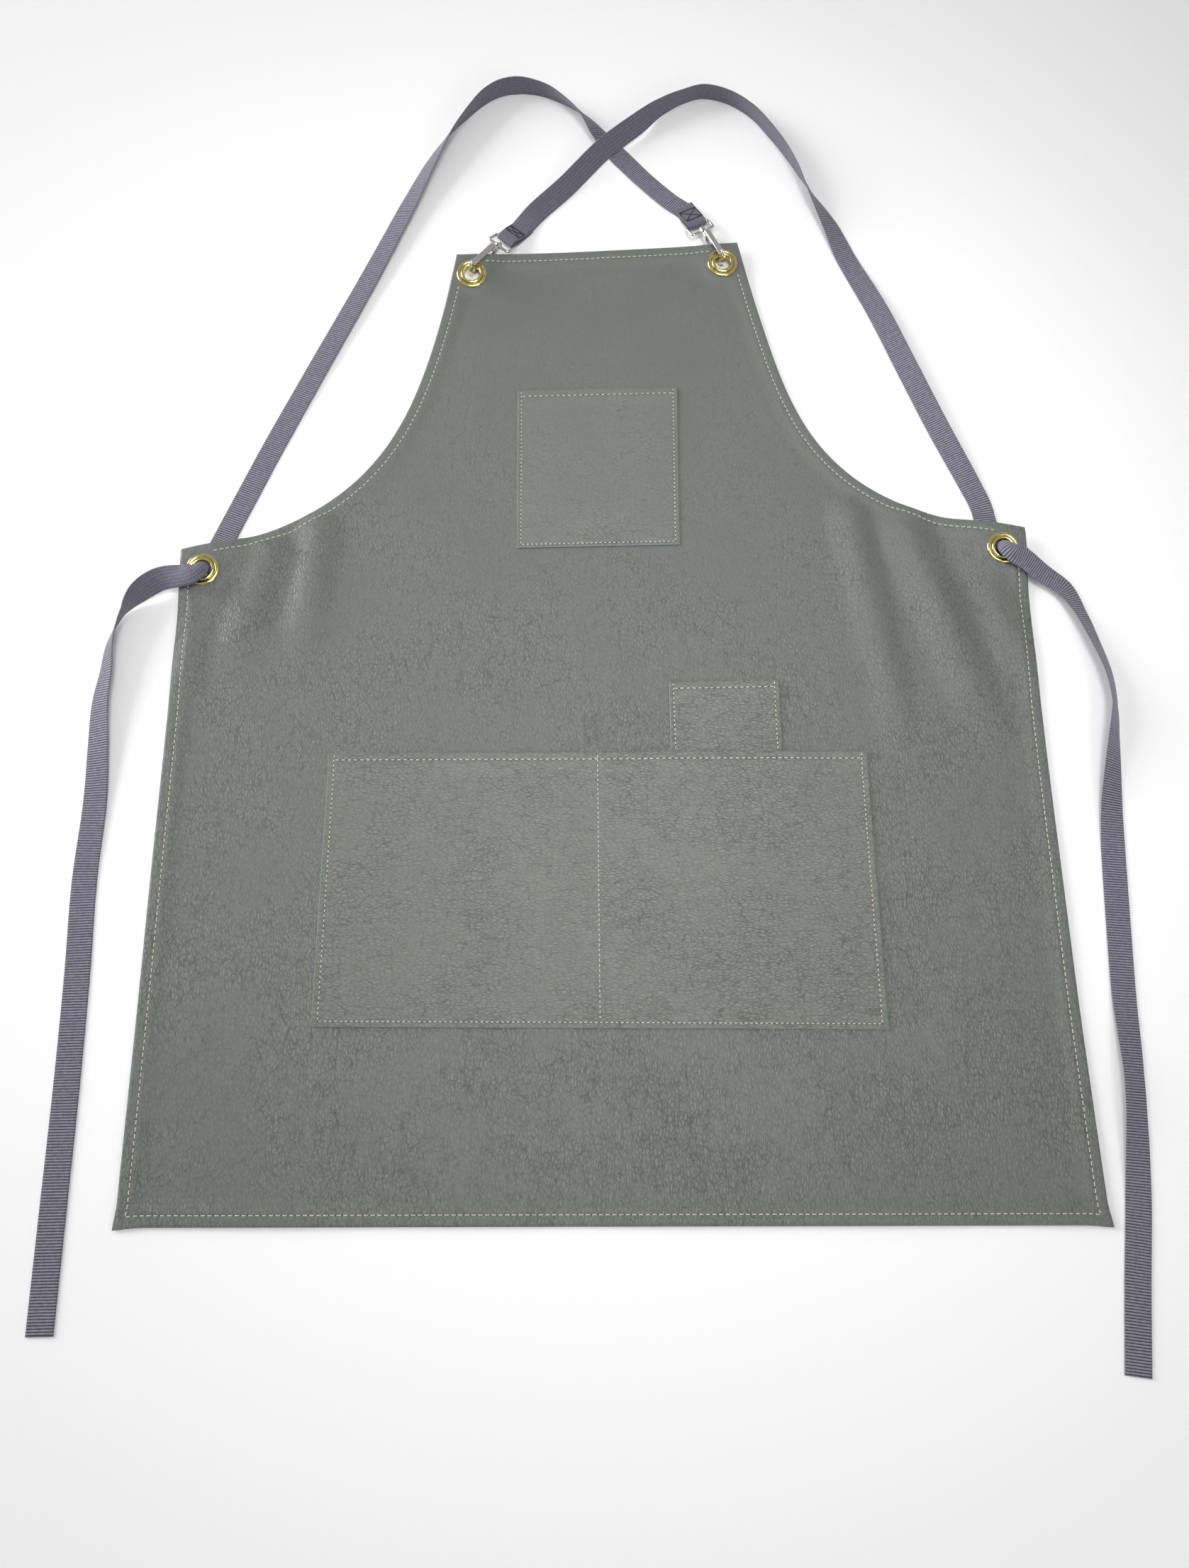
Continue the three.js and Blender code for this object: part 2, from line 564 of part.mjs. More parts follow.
function hookGate() {
  const { width, slot, tip, top, plate } = GATE;
  const { along, height, pin } = HINGE;
  const profile = new THREE.Shape([
    [along - 1.9, height - 1.7], [along + 2, height - 1.7], [along + 4.5, height + 0.1],
    [tip, top - 1.5], [tip, top], [along - 0.8, top], [along - 1.9, height + 0.9],
  ].map(point));
  profile.holes.push(new THREE.Path().absarc(along, height, pin + GAP, 0, Math.PI * 2));
  const channel = new THREE.ExtrudeGeometry(profile, { depth: width, bevelEnabled: false, curveSegments: 8 })
    .rotateX(Math.PI / 2).translate(0, width / 2, 0);
  const groove = box(along - 3, tip - 4, slot, height - 4, top - plate);
  return fromSolid(solid(channel).subtract(solid(groove)));
}

// Assembly.
group.add(named('apron_body', apronBody(), LEATHER_GREY));
group.add(named('chest_pocket', pocketSheet(CHEST, even(5), even(5), () => ON_BODY), LEATHER_GREY));
group.add(named('pen_pocket', pocketSheet(PEN, even(4), even(4), () => ON_BODY), LEATHER_GREY));
group.add(named('lower_pocket', lowerPocket(), LEATHER_GREY));

for (const [place, seat] of Object.entries(SEATS)) {
  group.add(named(`eyelet_${place}`, eyelet(seat), BRASS));
  group.add(named(`washer_${place}`, turned(WASHER, seat), BRASS));
}

for (const [side, hook] of Object.entries(HOOKS)) {
  const frame = new THREE.Group();
  frame.position.set(hook.x, hook.y, 0);
  frame.rotation.z = degToRad(hook.heading);
  frame.add(named(`hook_eye_${side}`, hookEye(), NICKEL));
  frame.add(named(`hook_body_${side}`, hookBody(), NICKEL));
  frame.add(named(`hook_gate_${side}`, hookGate(), NICKEL));
  group.add(frame);
}

const strapRight = [
  ...sewnRows(HOOKS.left, FLAP_UNDER, MAIN_OVER, 1),
  ...floorRows(STRAP_RIGHT_LOOP),
  ...threadedRows(SEATS.hip_right, -72, -36, 180),
  ...floorRows(STRAP_RIGHT_TAIL),
];
const strapLeft = [
  ...sewnRows(HOOKS.right, FLAP_OVER, MAIN_UNDER, -1),
  ...floorRows(STRAP_LEFT_LOOP),
  ...threadedRows(SEATS.hip_left, 249, 214, 0),
  ...floorRows(STRAP_LEFT_TAIL),
];
group.add(named('strap_right', strap(strapRight), WEBBING_MAUVE));
group.add(named('strap_left', strap(strapLeft), WEBBING_MAUVE));

export default group;
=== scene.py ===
# %% [markdown]
# # A cross-back leather apron
# The real apron is one panel of grey pebbled leather with patch pockets, brass eyelets, two webbing
# straps that cross behind the back, and two snap hooks. It lies face up on a pale floor.
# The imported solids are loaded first, because each piece has to sit where its solid sits.
# Lengths are written in millimetres, as on a pattern, and one factor turns them into metres.

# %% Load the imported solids
import json

import bpy
import numpy as np
from mathutils import Matrix, Vector

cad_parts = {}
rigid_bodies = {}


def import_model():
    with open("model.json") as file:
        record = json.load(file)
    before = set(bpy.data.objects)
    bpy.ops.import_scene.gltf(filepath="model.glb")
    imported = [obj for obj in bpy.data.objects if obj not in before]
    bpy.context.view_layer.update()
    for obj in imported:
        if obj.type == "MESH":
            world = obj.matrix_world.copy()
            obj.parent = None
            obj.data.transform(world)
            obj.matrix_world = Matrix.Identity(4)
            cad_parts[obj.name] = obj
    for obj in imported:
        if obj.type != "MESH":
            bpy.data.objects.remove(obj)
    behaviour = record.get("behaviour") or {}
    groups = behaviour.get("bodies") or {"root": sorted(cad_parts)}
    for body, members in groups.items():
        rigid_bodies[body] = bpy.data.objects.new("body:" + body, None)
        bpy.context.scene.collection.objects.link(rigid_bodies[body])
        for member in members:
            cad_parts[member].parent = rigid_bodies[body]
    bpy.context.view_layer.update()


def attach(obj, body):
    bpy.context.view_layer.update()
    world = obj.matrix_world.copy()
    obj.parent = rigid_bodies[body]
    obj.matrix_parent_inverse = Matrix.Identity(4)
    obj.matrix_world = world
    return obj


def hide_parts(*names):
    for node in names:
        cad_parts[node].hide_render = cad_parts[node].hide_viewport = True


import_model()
MM = 0.001

# %% [markdown]
# ## The camera
# The picture looks down at the apron from a little below its hem, about 72 degrees above the floor.
# A camera can be placed by eye and turned until it fits. Here its three axes were worked out from the
# apron's straight edges, so they are written as the columns of a matrix.

# %% Place the camera
def placed(name, data):
    """A new object in the scene."""
    made = bpy.data.objects.new(name, data)
    bpy.context.collection.objects.link(made)
    return made


CAMERA_RIGHT = Vector((0.9996, -0.0086, 0.0268))
CAMERA_UP = Vector((0.0, 0.9519, 0.3064))
CAMERA_PLACE = Vector((-0.0409, -0.3657, 0.9098))

camera_back = CAMERA_RIGHT.cross(CAMERA_UP).normalized()
camera_right = CAMERA_UP.cross(camera_back).normalized()
camera_up = camera_back.cross(camera_right)
camera_data = bpy.data.cameras.new("camera")
camera_data.sensor_width = 36
camera_data.lens = 1720 / 2212 * 36
camera = placed("camera", camera_data)
turn = Matrix((camera_right, camera_up, camera_back)).transposed().to_4x4()
camera.matrix_world = Matrix.Translation(CAMERA_PLACE) @ turn
bpy.context.scene.camera = camera
print("lens:", round(camera_data.lens, 2), "mm")

# %% [markdown]
# ## Nodes and colours
# A material is a small tree of nodes. One function adds a node, sets its values and links its inputs,
# so each material below reads as a list of steps. Colours are picked as sRGB hex values, and Blender
# works in linear light, so one function turns the first into the second.


# %% Helpers for materials
TIMES, TIMES_PLUS = {"operation": "MULTIPLY"}, {"operation": "MULTIPLY_ADD"}


def linear(hex_code):
    """Turns an sRGB hex value into a linear colour."""
    shares = [int(hex_code[i:i + 2], 16) / 255 for i in (1, 3, 5)]
    return [v / 12.92 if v <= 0.04045 else ((v + 0.055) / 1.055) ** 2.4 for v in shares] + [1]


def new_material(name):
    """Returns a new material, its node tree and its main shader."""
    material = bpy.data.materials.new(name)
    material.use_nodes = True
    return material, material.node_tree, material.node_tree.nodes["Principled BSDF"]


def fill(tree, node, inputs):
    """Links each input that is given a socket, and sets the others."""
    for key, value in inputs.items():
        socket = node.inputs[int(key[1:])] if key[1:].isdigit() else node.inputs[key]
        if isinstance(value, bpy.types.NodeSocket):
            tree.links.new(value, socket)
        else:
            socket.default_value = value


def add(tree, kind, settings=None, **inputs):
    """Adds one node with its settings and inputs; an input is named, or numbered as in i0."""
    made = tree.nodes.new("ShaderNode" + kind)
    for key, value in (settings or {}).items():
        setattr(made, key, value)
    fill(tree, made, inputs)
    return made


print("middle grey in linear light:", [round(v, 3) for v in linear("#737874")])


# %% Steps that the materials share
def object_place(tree):
    """The place on the object, in metres."""
    return add(tree, "TexCoord").outputs["Object"]


def noise(tree, place, size, detail=2.0):
    """Cloudy noise with blobs of a size in millimetres."""
    return add(tree, "TexNoise", Vector=place, Scale=1 / (size * MM), Detail=detail)


def bands(tree, place, direction, pitch, bend):
    """Even bands with a pitch in millimetres."""
    return add(tree, "TexWave", {"bands_direction": direction}, Vector=place,
               Scale=0.314 / (pitch * MM), Distortion=bend).outputs["Fac"]


def ranged(tree, value, start, end, low=0.0, high=1.0, kind="SMOOTHSTEP"):
    """Maps a value that runs from start to end to one that runs from low to high."""
    return add(tree, "MapRange", {"interpolation_type": kind}, Value=value,
               i1=start, i2=end, i3=low, i4=high).outputs[0]


def times(tree, a, b):
    """One value times another."""
    return add(tree, "Math", TIMES, i0=a, i1=b).outputs[0]


def share_plus(tree, a, share, b):
    """A share of one value added to another."""
    return add(tree, "Math", TIMES_PLUS, i0=a, i1=share, i2=b).outputs[0]


def blend(tree, factor, *colours):
    """Blends two colours; each is a hex value or a socket."""
    first, second = [linear(c) if isinstance(c, str) else c for c in colours]
    return add(tree, "Mix", {"data_type": "RGBA"}, Factor=factor, i6=first, i7=second).outputs[2]


def bumped(tree, height, strength, distance):
    """A surface direction that follows a height; the distance is in millimetres."""
    return add(tree, "Bump", Height=height, Strength=strength, Distance=distance * MM).outputs[0]


print("steps:", ", ".join(step.__name__ for step in (noise, bands, ranged, times, share_plus, blend, bumped)))

# %% [markdown]
# ## Floor and light
# A studio table is a wide pale sheet, lit by large soft lamps so that shadows stay short and faint.
# The sheet is only the stage, so a plane of its size is enough.


# %% Make the floor
def deselect():
    """Clears the selection, because an operator acts on all that is selected."""
    bpy.ops.object.select_all(action="DESELECT")


deselect()
bpy.ops.mesh.primitive_plane_add(size=12, location=(0, 0, 0))
floor = bpy.context.object
floor.name = "floor"
paper, tree, shader = new_material("matt white paper")
# Uncoated paper scatters light evenly, so it has no gloss to speak of.
fibre = add(tree, "TexNoise", Vector=object_place(tree), Scale=0.4)
tone = blend(tree, fibre.outputs["Fac"], "#fafafa", "#ffffff")
fill(tree, shader, {"Base Color": tone, "Roughness": 0.95, "Specular IOR Level": 0.1})
floor.data.materials.append(paper)
print("floor:", round(floor.dimensions.x, 2), "m wide")

# %% [markdown]
# A large lamp far off to one side grazes the leather, so that its folds and pebbles show. A narrow beam
# from above lifts the middle, and a weak lamp in front fills the shadows. The room round it is palest near
# the floor, as white studio walls are, which also gives the metals something to reflect.

# %% Hang the lamps
LAMPS = [
    # name, place in metres, side in metres, power in watts, beam in degrees
    ("low side lamp", (-4.6, 1.8, 1.8), 2.6, 250, 180),
    ("overhead lamp", (0.12, -0.12, 1.7), 0.8, 1.7, 45),
    ("front lamp", (1.3, -1.7, 1.3), 0.7, 10, 180),
]
LAMP_TARGET = Vector((0, 0.1, 0))
for name, place, side, power, beam in LAMPS:
    lamp = bpy.data.lights.new(name, "AREA")
    lamp.energy = power
    lamp.size = side
    lamp.spread = np.radians(beam)
    lamp_object = placed(name, lamp)
    lamp_object.location = place
    lamp_object.rotation_euler = (LAMP_TARGET - Vector(place)).to_track_quat("-Z", "Y").to_euler()
sky = bpy.data.worlds.new("soft room")
sky.use_nodes = True
tree = sky.node_tree
aim = add(tree, "TexCoord")
height = add(tree, "SeparateXYZ", Vector=aim.outputs["Generated"])
glow = ranged(tree, height.outputs["Z"], 0.0, 0.3, 0.8, 0.38)
fill(tree, tree.nodes["Background"], {"Color": linear("#ffffff"), "Strength": glow})
bpy.context.scene.world = sky
bpy.context.scene.view_settings.view_transform = "Standard"
print("lamps:", len(LAMPS))

# %% [markdown]
# ## Pebbled leather
# The creases are coloured darker, as painted shade, and the pebble tops lighter, as a painted highlight.
# The panel is drum-tumbled cowhide, dyed through in a grey with a little green. Tumbling raises pebbles of
# about 2.1 by 4.4 mm with thin creases between them, and looser skin gathers into longer creases.
# A Voronoi texture's distance to the cell edge gives both. Its cells are straight-sided, so noise bends
# them, and more noise fades the creases here and there, because no two parts of a hide are alike. The bib
# comes from the tighter back of the hide, so its creases are the faintest.
# The hide lies with its creases upright on the panel and crosswise on the pockets, so one function turns it.


# %% Make the leathers
def cell_edges(tree, place, size):
    """The distance to the nearest edge of cells of a size in millimetres."""
    scaled = add(tree, "Mapping", Vector=place, Scale=[1 / (v * MM) for v in size])
    cells = add(tree, "TexVoronoi", {"feature": "DISTANCE_TO_EDGE"}, Vector=scaled.outputs[0], Scale=1.0)
    return cells.outputs["Distance"]


def shifted(tree, place, wander, reach):
    """A place moved about by noise, by up to a reach in millimetres."""
    return add(tree, "VectorMath", TIMES_PLUS, i0=wander.outputs["Color"],
               i1=(reach * MM, reach * MM, 0), i2=place).outputs[0]


def make_leather(name, turn, tints):
    """Makes a pebbled leather; tints are painted crease shade, skin, painted pebble-top highlight and
    sun-bleached skin.
    """
    material, tree, shader = new_material(name)
    place = object_place(tree)
    laid = add(tree, "Mapping", Vector=place, Rotation=(0, 0, turn)).outputs[0]
    ripple = noise(tree, laid, 2.4)
    bent = shifted(tree, shifted(tree, laid, noise(tree, laid, 16), 5), ripple, 1.1)
    pebbles = cell_edges(tree, bent, (2.1, 4.4, 9))
    gathers = cell_edges(tree, bent, (4.8, 18, 20))
    dome = ranged(tree, pebbles, 0, 0.46)
    thin = ranged(tree, pebbles, 0, 0.13, 1, 0)
    long = ranged(tree, gathers, 0, 0.07, 1, 0)
    patch = noise(tree, place, 85).outputs["Fac"]
    loose = ranged(tree, patch, 0.36, 0.64, 0.55, 1)
    fade = ranged(tree, noise(tree, laid, 8).outputs["Fac"], 0.34, 0.68, 0.6, 1)
    upward = add(tree, "SeparateXYZ", Vector=place).outputs["Y"]
    belly = ranged(tree, upward, 0.06, 0.34, 1, 0.35, "LINEAR")
    tight = times(tree, times(tree, loose, fade), belly)
    crease = add(tree, "Math", {"operation": "MULTIPLY_ADD", "use_clamp": True},
                 i0=times(tree, long, tight), i1=0.7, i2=times(tree, thin, tight)).outputs[0]
    pebble_relief_and_highlight = times(tree, dome, tight)
    grain = share_plus(tree, ripple.outputs["Fac"], 0.35, pebble_relief_and_highlight)
    relief = share_plus(tree, crease, -0.4, grain)
    # Painted highlight: the pebble tops are coloured lighter than the skin.
    top = blend(tree, pebble_relief_and_highlight, tints[1], tints[2])
    cloud = ranged(tree, patch, 0.3, 0.7, 0, 0.5, "LINEAR")
    # Painted shade: the creases are coloured darker with the first tint.
    skin = blend(tree, crease, blend(tree, cloud, top, tints[3]), tints[0])
    gloss = ranged(tree, crease, 0, 1, 0.42, 0.75, "LINEAR")
    fill(tree, shader, {"Base Color": skin, "Roughness": gloss, "Specular IOR Level": 0.45,
                        "Normal": bumped(tree, relief, 0.7, 0.36)})
    return material


# Tints: painted crease shade, skin, painted pebble-top highlight, sun-bleached skin.
leather = make_leather("pebbled cowhide", 0.0, ("#565a57", "#676a67", "#767974", "#72756f"))
pocket_leather = make_leather("pebbled cowhide cut crosswise", np.pi / 2,
                              ("#595d58", "#6c706b", "#7d8079", "#777a72"))
print("leathers:", leather.name, "and", pocket_leather.name)

# %% [markdown]
# The pockets' side and bottom edges are cut raw. A raw edge shows the pale blue core of the hide, where
# the dye is thinner, and it is fibrous and dull.

# %% Make the raw edge
raw_edge, tree, shader = new_material("raw cut hide")
fibres = noise(tree, object_place(tree), 1.2, 3.0).outputs["Fac"]
fill(tree, shader, {"Base Color": blend(tree, fibres, "#6c7b81", "#94a3a9"), "Roughness": 0.85,
                    "Normal": bumped(tree, fibres, 0.3, 0.1)})
print("edge:", raw_edge.name)

# %% [markdown]
# ## The panel's outline
# The panel is cut with a straight hem, upright sides, two curved armholes and a short bib top.
# Each edge is drawn as a run of close points, counterclockwise seen from above. A curved edge is a cubic
# Bezier curve, the same curve that a pattern drawing uses.


# %% Draw the outline
def line(a, b):
    """A straight edge as close points."""
    return np.linspace(a, b, 160)


def bezier(a, b, c, d):
    """A cubic curve as close points."""
    t = np.linspace(0, 1, 400)[:, None]
    points = np.array([a, b, c, d], float)
    return ((1 - t) ** 3 * points[0] + 3 * (1 - t) ** 2 * t * points[1]
            + 3 * (1 - t) * t ** 2 * points[2] + t ** 3 * points[3])


HEM_LEFT, HEM_RIGHT = (-350, -397), (349, -402)
HIP_LEFT, HIP_RIGHT = (-351, 126), (350, 151)
BIB_LEFT, BIB_RIGHT = (-134, 425), (120, 442)
SIDE_BOW = 3

right_side = line(HEM_RIGHT, HIP_RIGHT)
share = np.linspace(0, 1, len(right_side))
right_side[:, 0] -= SIDE_BOW * 4 * share * (1 - share)
body_edges = [
    line(HEM_LEFT, HEM_RIGHT),
    right_side,
    bezier(HIP_RIGHT, (154, 175), (162, 277), BIB_RIGHT),
    line(BIB_RIGHT, BIB_LEFT),
    bezier(BIB_LEFT, (-163, 271), (-179, 159), HIP_LEFT),
    line(HIP_LEFT, HEM_LEFT),
]
for edge in body_edges:
    for corner, out in ((HEM_LEFT, (-1.6, -1.8)), (HEM_RIGHT, (2.4, -1.4))):
        near = np.exp(-(np.hypot(edge[:, 0] - corner[0], edge[:, 1] - corner[1]) / 9) ** 2)
        edge += np.outer(near, out)

# %% [markdown]
# ## A leather sheet from rings and rows
# Close to its edge the leather needs fine detail, where it is turned under and sewn, and further in it
# needs only an even grid. So the sheet's points are rings that step inwards from the edge, and rows
# across the middle. The same points are used twice, as upper and lower face, and a wall joins the two.


# %% Helpers for leather sheets
def inward(edge):
    """The direction into the sheet at each point of an edge."""
    along = np.gradient(edge, axis=0)
    along /= np.linalg.norm(along, axis=1)[:, None]
    return np.stack([-along[:, 1], along[:, 0]], axis=1)


def mitre(before, after, depth):
    """The corner between two edges, moved inwards."""
    a, b = inward(before)[-1], inward(after)[0]
    return after[0] + depth * (a + b) / (1 + a @ b)


def spaced(points, steps):
    """The same run of points with even steps."""
    length = np.r_[0, np.cumsum(np.linalg.norm(np.diff(points, axis=0), axis=1))]
    at = np.linspace(0, length[-1], steps + 1)
    return np.stack([np.interp(at, length, points[:, k]) for k in range(points.shape[1])], axis=1)


def inset_edges(edges, depths):
    """Each edge moved inwards by its own depth and cut off at its new corners."""
    moved = []
    for i, edge in enumerate(edges):
        after = (i + 1) % len(edges)
        start = mitre(edges[i - 1], edge, depths)
        end = mitre(edge, edges[after], depths)
        points = edge + depths * inward(edge)
        keep = (points - start) @ (edge[1] - edge[0]) > 0
        keep &= (end - points) @ (edge[-1] - edge[-2]) > 0
        moved.append(np.concatenate([[start], points[keep], [end]]))
    return moved


def ring(edges, steps, depth):
    """One closed ring of points at a depth inside the edges."""
    moved = inset_edges(edges, depth)
    return np.concatenate([spaced(edge, count)[:-1] for edge, count in zip(moved, steps)])


print("outer ring:", len(ring(body_edges, [10, 10, 10, 10, 10, 10], 0)), "points in a coarse one")


# %% Join rings and rows into one sheet
# The rows lie further in than any ring, so one large depth stands for them all.
FAR_IN = 1e3


def sheet_points(edges, steps, depths, across):
    """Plan points of a sheet, the depth of each, and the quads that join them."""
    rings = [ring(edges, steps, depth) for depth in depths]
    count = len(rings[0])
    up = (count - 2 * across) // 2
    quads = []
    for level in range(len(depths) - 1):
        here = level * count + np.arange(count)
        beyond = level * count + (np.arange(count) + 1) % count
        quads.append(np.stack([here, beyond, beyond + count, here + count], axis=1))
    last = (len(depths) - 1) * count
    inner = rings[-1]
    right = inner[across:across + up + 1]
    left = np.roll(inner, -1, axis=0)[::-1][:up + 1]
    grid = np.zeros((up + 1, across + 1), int)
    grid[0] = last + np.arange(across + 1)
    grid[:, across] = last + across + np.arange(up + 1)
    grid[up] = last + across + up + np.arange(across, -1, -1)
    grid[:, 0] = last + (-np.arange(up + 1)) % count
    grid[1:up, 1:across] = len(depths) * count + np.arange((up - 1) * (across - 1)).reshape(up - 1, -1)
    weight = (np.arange(1, across) / across)[None, :, None]
    rows = left[1:up, None] * (1 - weight) + right[1:up, None] * weight
    cells = [grid[:-1, :-1], grid[:-1, 1:], grid[1:, 1:], grid[1:, :-1]]
    quads.append(np.stack(cells, axis=-1).reshape(-1, 4))
    plan = np.concatenate(rings + [rows.reshape(-1, 2)])
    depth = np.concatenate([np.repeat(depths, count), np.full(len(rows.reshape(-1, 2)), FAR_IN)])
    return plan, depth, np.concatenate(quads), count


def two_sided(plan, low, high, quads, count):
    """Points and faces of a closed sheet with the given heights; the wall's faces come last."""
    points = np.concatenate([np.c_[plan, high], np.c_[plan, low]])
    below = len(plan)
    here, beyond = np.arange(count), (np.arange(count) + 1) % count
    wall = np.stack([here + below, beyond + below, beyond, here], axis=1)
    return points, np.concatenate([quads, quads[:, ::-1] + below, wall])


def new_piece(name, points, faces, *materials):
    """A mesh object from points in millimetres."""
    mesh = bpy.data.meshes.new(name)
    mesh.from_pydata((np.asarray(points) * MM).tolist(), [], [list(map(int, face)) for face in faces])
    mesh.shade_smooth()
    piece = placed(name, mesh)
    for material in materials:
        mesh.materials.append(material)
    return piece


def smooth(value, low, high):
    """A soft step from 0 to 1."""
    t = np.clip((value - low) / (high - low), 0, 1)
    return t * t * (3 - 2 * t)


print("a soft step half way:", smooth(np.array([0.5]), 0, 1)[0])

# %% [markdown]
# ## How the panel lies
# The leather is stiff, so it doesn't lie quite flat. The bib's top edge lifts, the corners round the
# eyelets stand up on their flanges, and soft folds run down from the armholes. Each fold is a line with
# a height and a reach, and a cosine bump falls away on both sides of it.

# %% Describe the lie of the leather
FOLDS = [
    # from x, from y, to x, to y, height, reach; each sinks to nothing at its far end
    (-241, 146, -252, 5, 6.0, 26),
    (-280, 124, -318, 0, 7.5, 28),
    (-330, 70, -344, -25, 4.4, 24),
    (203, 165, 240, -90, 6.0, 26),
    (250, 152, 315, -70, 8.5, 30),
    (318, 105, 344, -20, 5.4, 25),
]
CREASES = [
    # finer folds on top of those
    (-300, 95, -318, 60, 0.9, 9),
    (-262, 126, -268, 88, 0.7, 8),
    (-296, 108, -282, 84, 0.6, 7),
    (300, 118, 318, 78, 0.9, 9),
    (276, 138, 290, 96, 0.7, 9),
    (236, 146, 240, 112, 0.6, 8),
]
SEATS = {
    # corner: x, y, lift, slope, reach
    "bib_left": (-120, 406, 4.2, 0.13, 32),
    "bib_right": (106, 421, 4.2, 0.13, 32),
    "hip_left": (-332, 108, 7.5, 0.12, 60),
    "hip_right": (329, 132, 7.5, 0.12, 60),
}
POCKET_ZONES = [(-240, -280, 222, -28), (-95, 115, 78, 305), (30, -95, 152, 32)]
BIB_LIFT, BIB_SAG, BIB_REACH = 6.5, 0.6, 70
WAVE, CALM_REACH = 0.9, 30
SEAT_FLAT = 15


def bumps(x, y, folds):
    """The highest of a set of folds at each point."""
    top = np.zeros_like(x)
    for ax, ay, bx, by, height, reach in folds:
        dx, dy = bx - ax, by - ay
        t = np.clip(((x - ax) * dx + (y - ay) * dy) / (dx * dx + dy * dy), 0, 1)
        away = np.hypot(x - ax - dx * t, y - ay - dy * t)
        sunk = height * (1 - smooth(t, 0.3, 1))
        top = np.maximum(top, sunk * 0.5 * (1 + np.cos(np.pi * np.clip(away / reach, 0, 1))))
    return top


def lie(x, y):
    """The height of the leather's underside above the floor."""
    s = np.clip((x - BIB_LEFT[0]) / (BIB_RIGHT[0] - BIB_LEFT[0]), 0, 1)
    below = np.clip(BIB_LEFT[1] + s * (BIB_RIGHT[1] - BIB_LEFT[1]) - y, 0, BIB_REACH)
    bib = BIB_LIFT * (1 - BIB_SAG * (1 - (2 * s - 1) ** 2)) * (1 - below / BIB_REACH) ** 2
    lift = np.maximum(bib, np.maximum(bumps(x, y, FOLDS) - 0.4, 0)) + bumps(x, y, CREASES)
    calm = np.ones_like(x)
    for x0, y0, x1, y1 in POCKET_ZONES:
        outside = np.maximum(np.maximum(x0 - x, x - x1), np.maximum(y0 - y, y - y1))
        calm = np.minimum(calm, smooth(outside, 0, CALM_REACH))
    wave = 0.5 + 0.25 * np.sin(x / 23 + 1.5 * np.sin(y / 61)) + 0.25 * np.sin(y / 31 + x / 57)
    lift = lift + WAVE * calm * wave
    for sx, sy, height, slope, reach in SEATS.values():
        away = np.hypot(x - sx, y - sy)
        level = np.maximum(height + slope * (y - sy), 0)
        lift = level + (lift - level) * smooth(away, SEAT_FLAT, reach)
    return lift


print("lift at the left hip:", lie(np.array([-332.0]), np.array([108.0])).round(2), "mm")

# %% [markdown]
# ## The panel
# All round, the edge is turned under once and sewn 8 mm in, so it is twice as thick there and its outer
# edge is round. The thread pulls a shallow groove. The heights below give all that, ring by ring.

# %% Model the panel
LEATHER, HEM, HEM_WIDTH, NOSE, SEAM = 1.3, 2.8, 11, 2.0, 8.0
BODY_DEPTHS = [0, 0.12, 0.45, 1, 1.7, 2.6, 4, 5.6, 6.8, 7.4, 8, 8.6, 9.4, 11, 13, 15, 17.5, 20.5]
BODY_STEPS = [136, 100, 78, 136, 78, 100]
SEAT_THICK, SEAT_RUNOUT, UNDER_WASHER, DEEP = 2.6, 6, 14.4, 20
GROOVE_DEPTH, GROOVE_HALF = 0.35, 0.9


def panel_heights(x, y, depth):
    """The lower and upper face of the panel."""
    lift = lie(x, y)
    thick = HEM + (LEATHER - HEM) * smooth(depth, HEM_WIDTH - 2, 20)
    for sx, sy, *_ in SEATS.values():
        away = np.hypot(x - sx, y - sy)
        thick = SEAT_THICK + (thick - SEAT_THICK) * smooth(away, SEAT_FLAT, SEAT_FLAT + SEAT_RUNOUT)
        depth = np.where(away < UNDER_WASHER, DEEP, depth)
    seat = np.min([np.hypot(x - s[0], y - s[1]) for s in SEATS.values()], axis=0)
    groove = GROOVE_DEPTH * np.exp(-((depth - SEAM) / GROOVE_HALF) ** 2) * smooth(seat, 14.5, 18)
    bare = np.clip(depth / NOSE, 0, 1)
    half = thick / 2 * np.maximum(np.sqrt(1 - (1 - bare) ** 2), 0.03)
    return lift + thick / 2 - half, lift + thick / 2 + half - groove


plan, depth, quads, count = sheet_points(body_edges, BODY_STEPS, BODY_DEPTHS, BODY_STEPS[0])
low, high = panel_heights(plan[:, 0], plan[:, 1], depth)
points, faces = two_sided(plan, low, high, quads, count)
panel = new_piece("leather_panel", points, faces, leather)
print("panel faces:", len(faces))

# %% [markdown]
# The eyelets need holes. A hole can be left out of the grid, but the rings and rows don't follow a
# circle there. A Boolean modifier with a round punch cuts it cleanly, as the maker's punch does.

# %% Punch the eyelet holes
def cut_away(piece, cutter):
    """Takes the cutter's shape out of a piece, and clears the cutter away."""
    cut = piece.modifiers.new("cut", "BOOLEAN")
    cut.object = cutter
    cut.operation = "DIFFERENCE"
    cut.solver = "EXACT"
    bpy.context.view_layer.objects.active = piece
    bpy.ops.object.modifier_apply(modifier=cut.name)
    bpy.data.objects.remove(cutter)


PUNCH_RADIUS = 8.1
for x, y, lift, *_ in SEATS.values():
    deselect()
    bpy.ops.mesh.primitive_cylinder_add(vertices=48, radius=PUNCH_RADIUS * MM, depth=40 * MM,
                                        location=(x * MM, y * MM, lift * MM))
    cut_away(panel, bpy.context.object)
panel.data.shade_smooth()
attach(panel, "apron")
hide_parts("apron_body")
print("panel after punching:", len(panel.data.polygons), "faces")

# %% [markdown]
# ## Patch pockets
# The chest pocket, the pen pocket and the wide lower pocket are cut from the same hide. Only their top
# edge is turned; the sides and bottom are raw. They are made as the panel is, from rings and rows, with
# the distance to each of the four edges deciding the thickness, the seam grooves and a slight fullness.

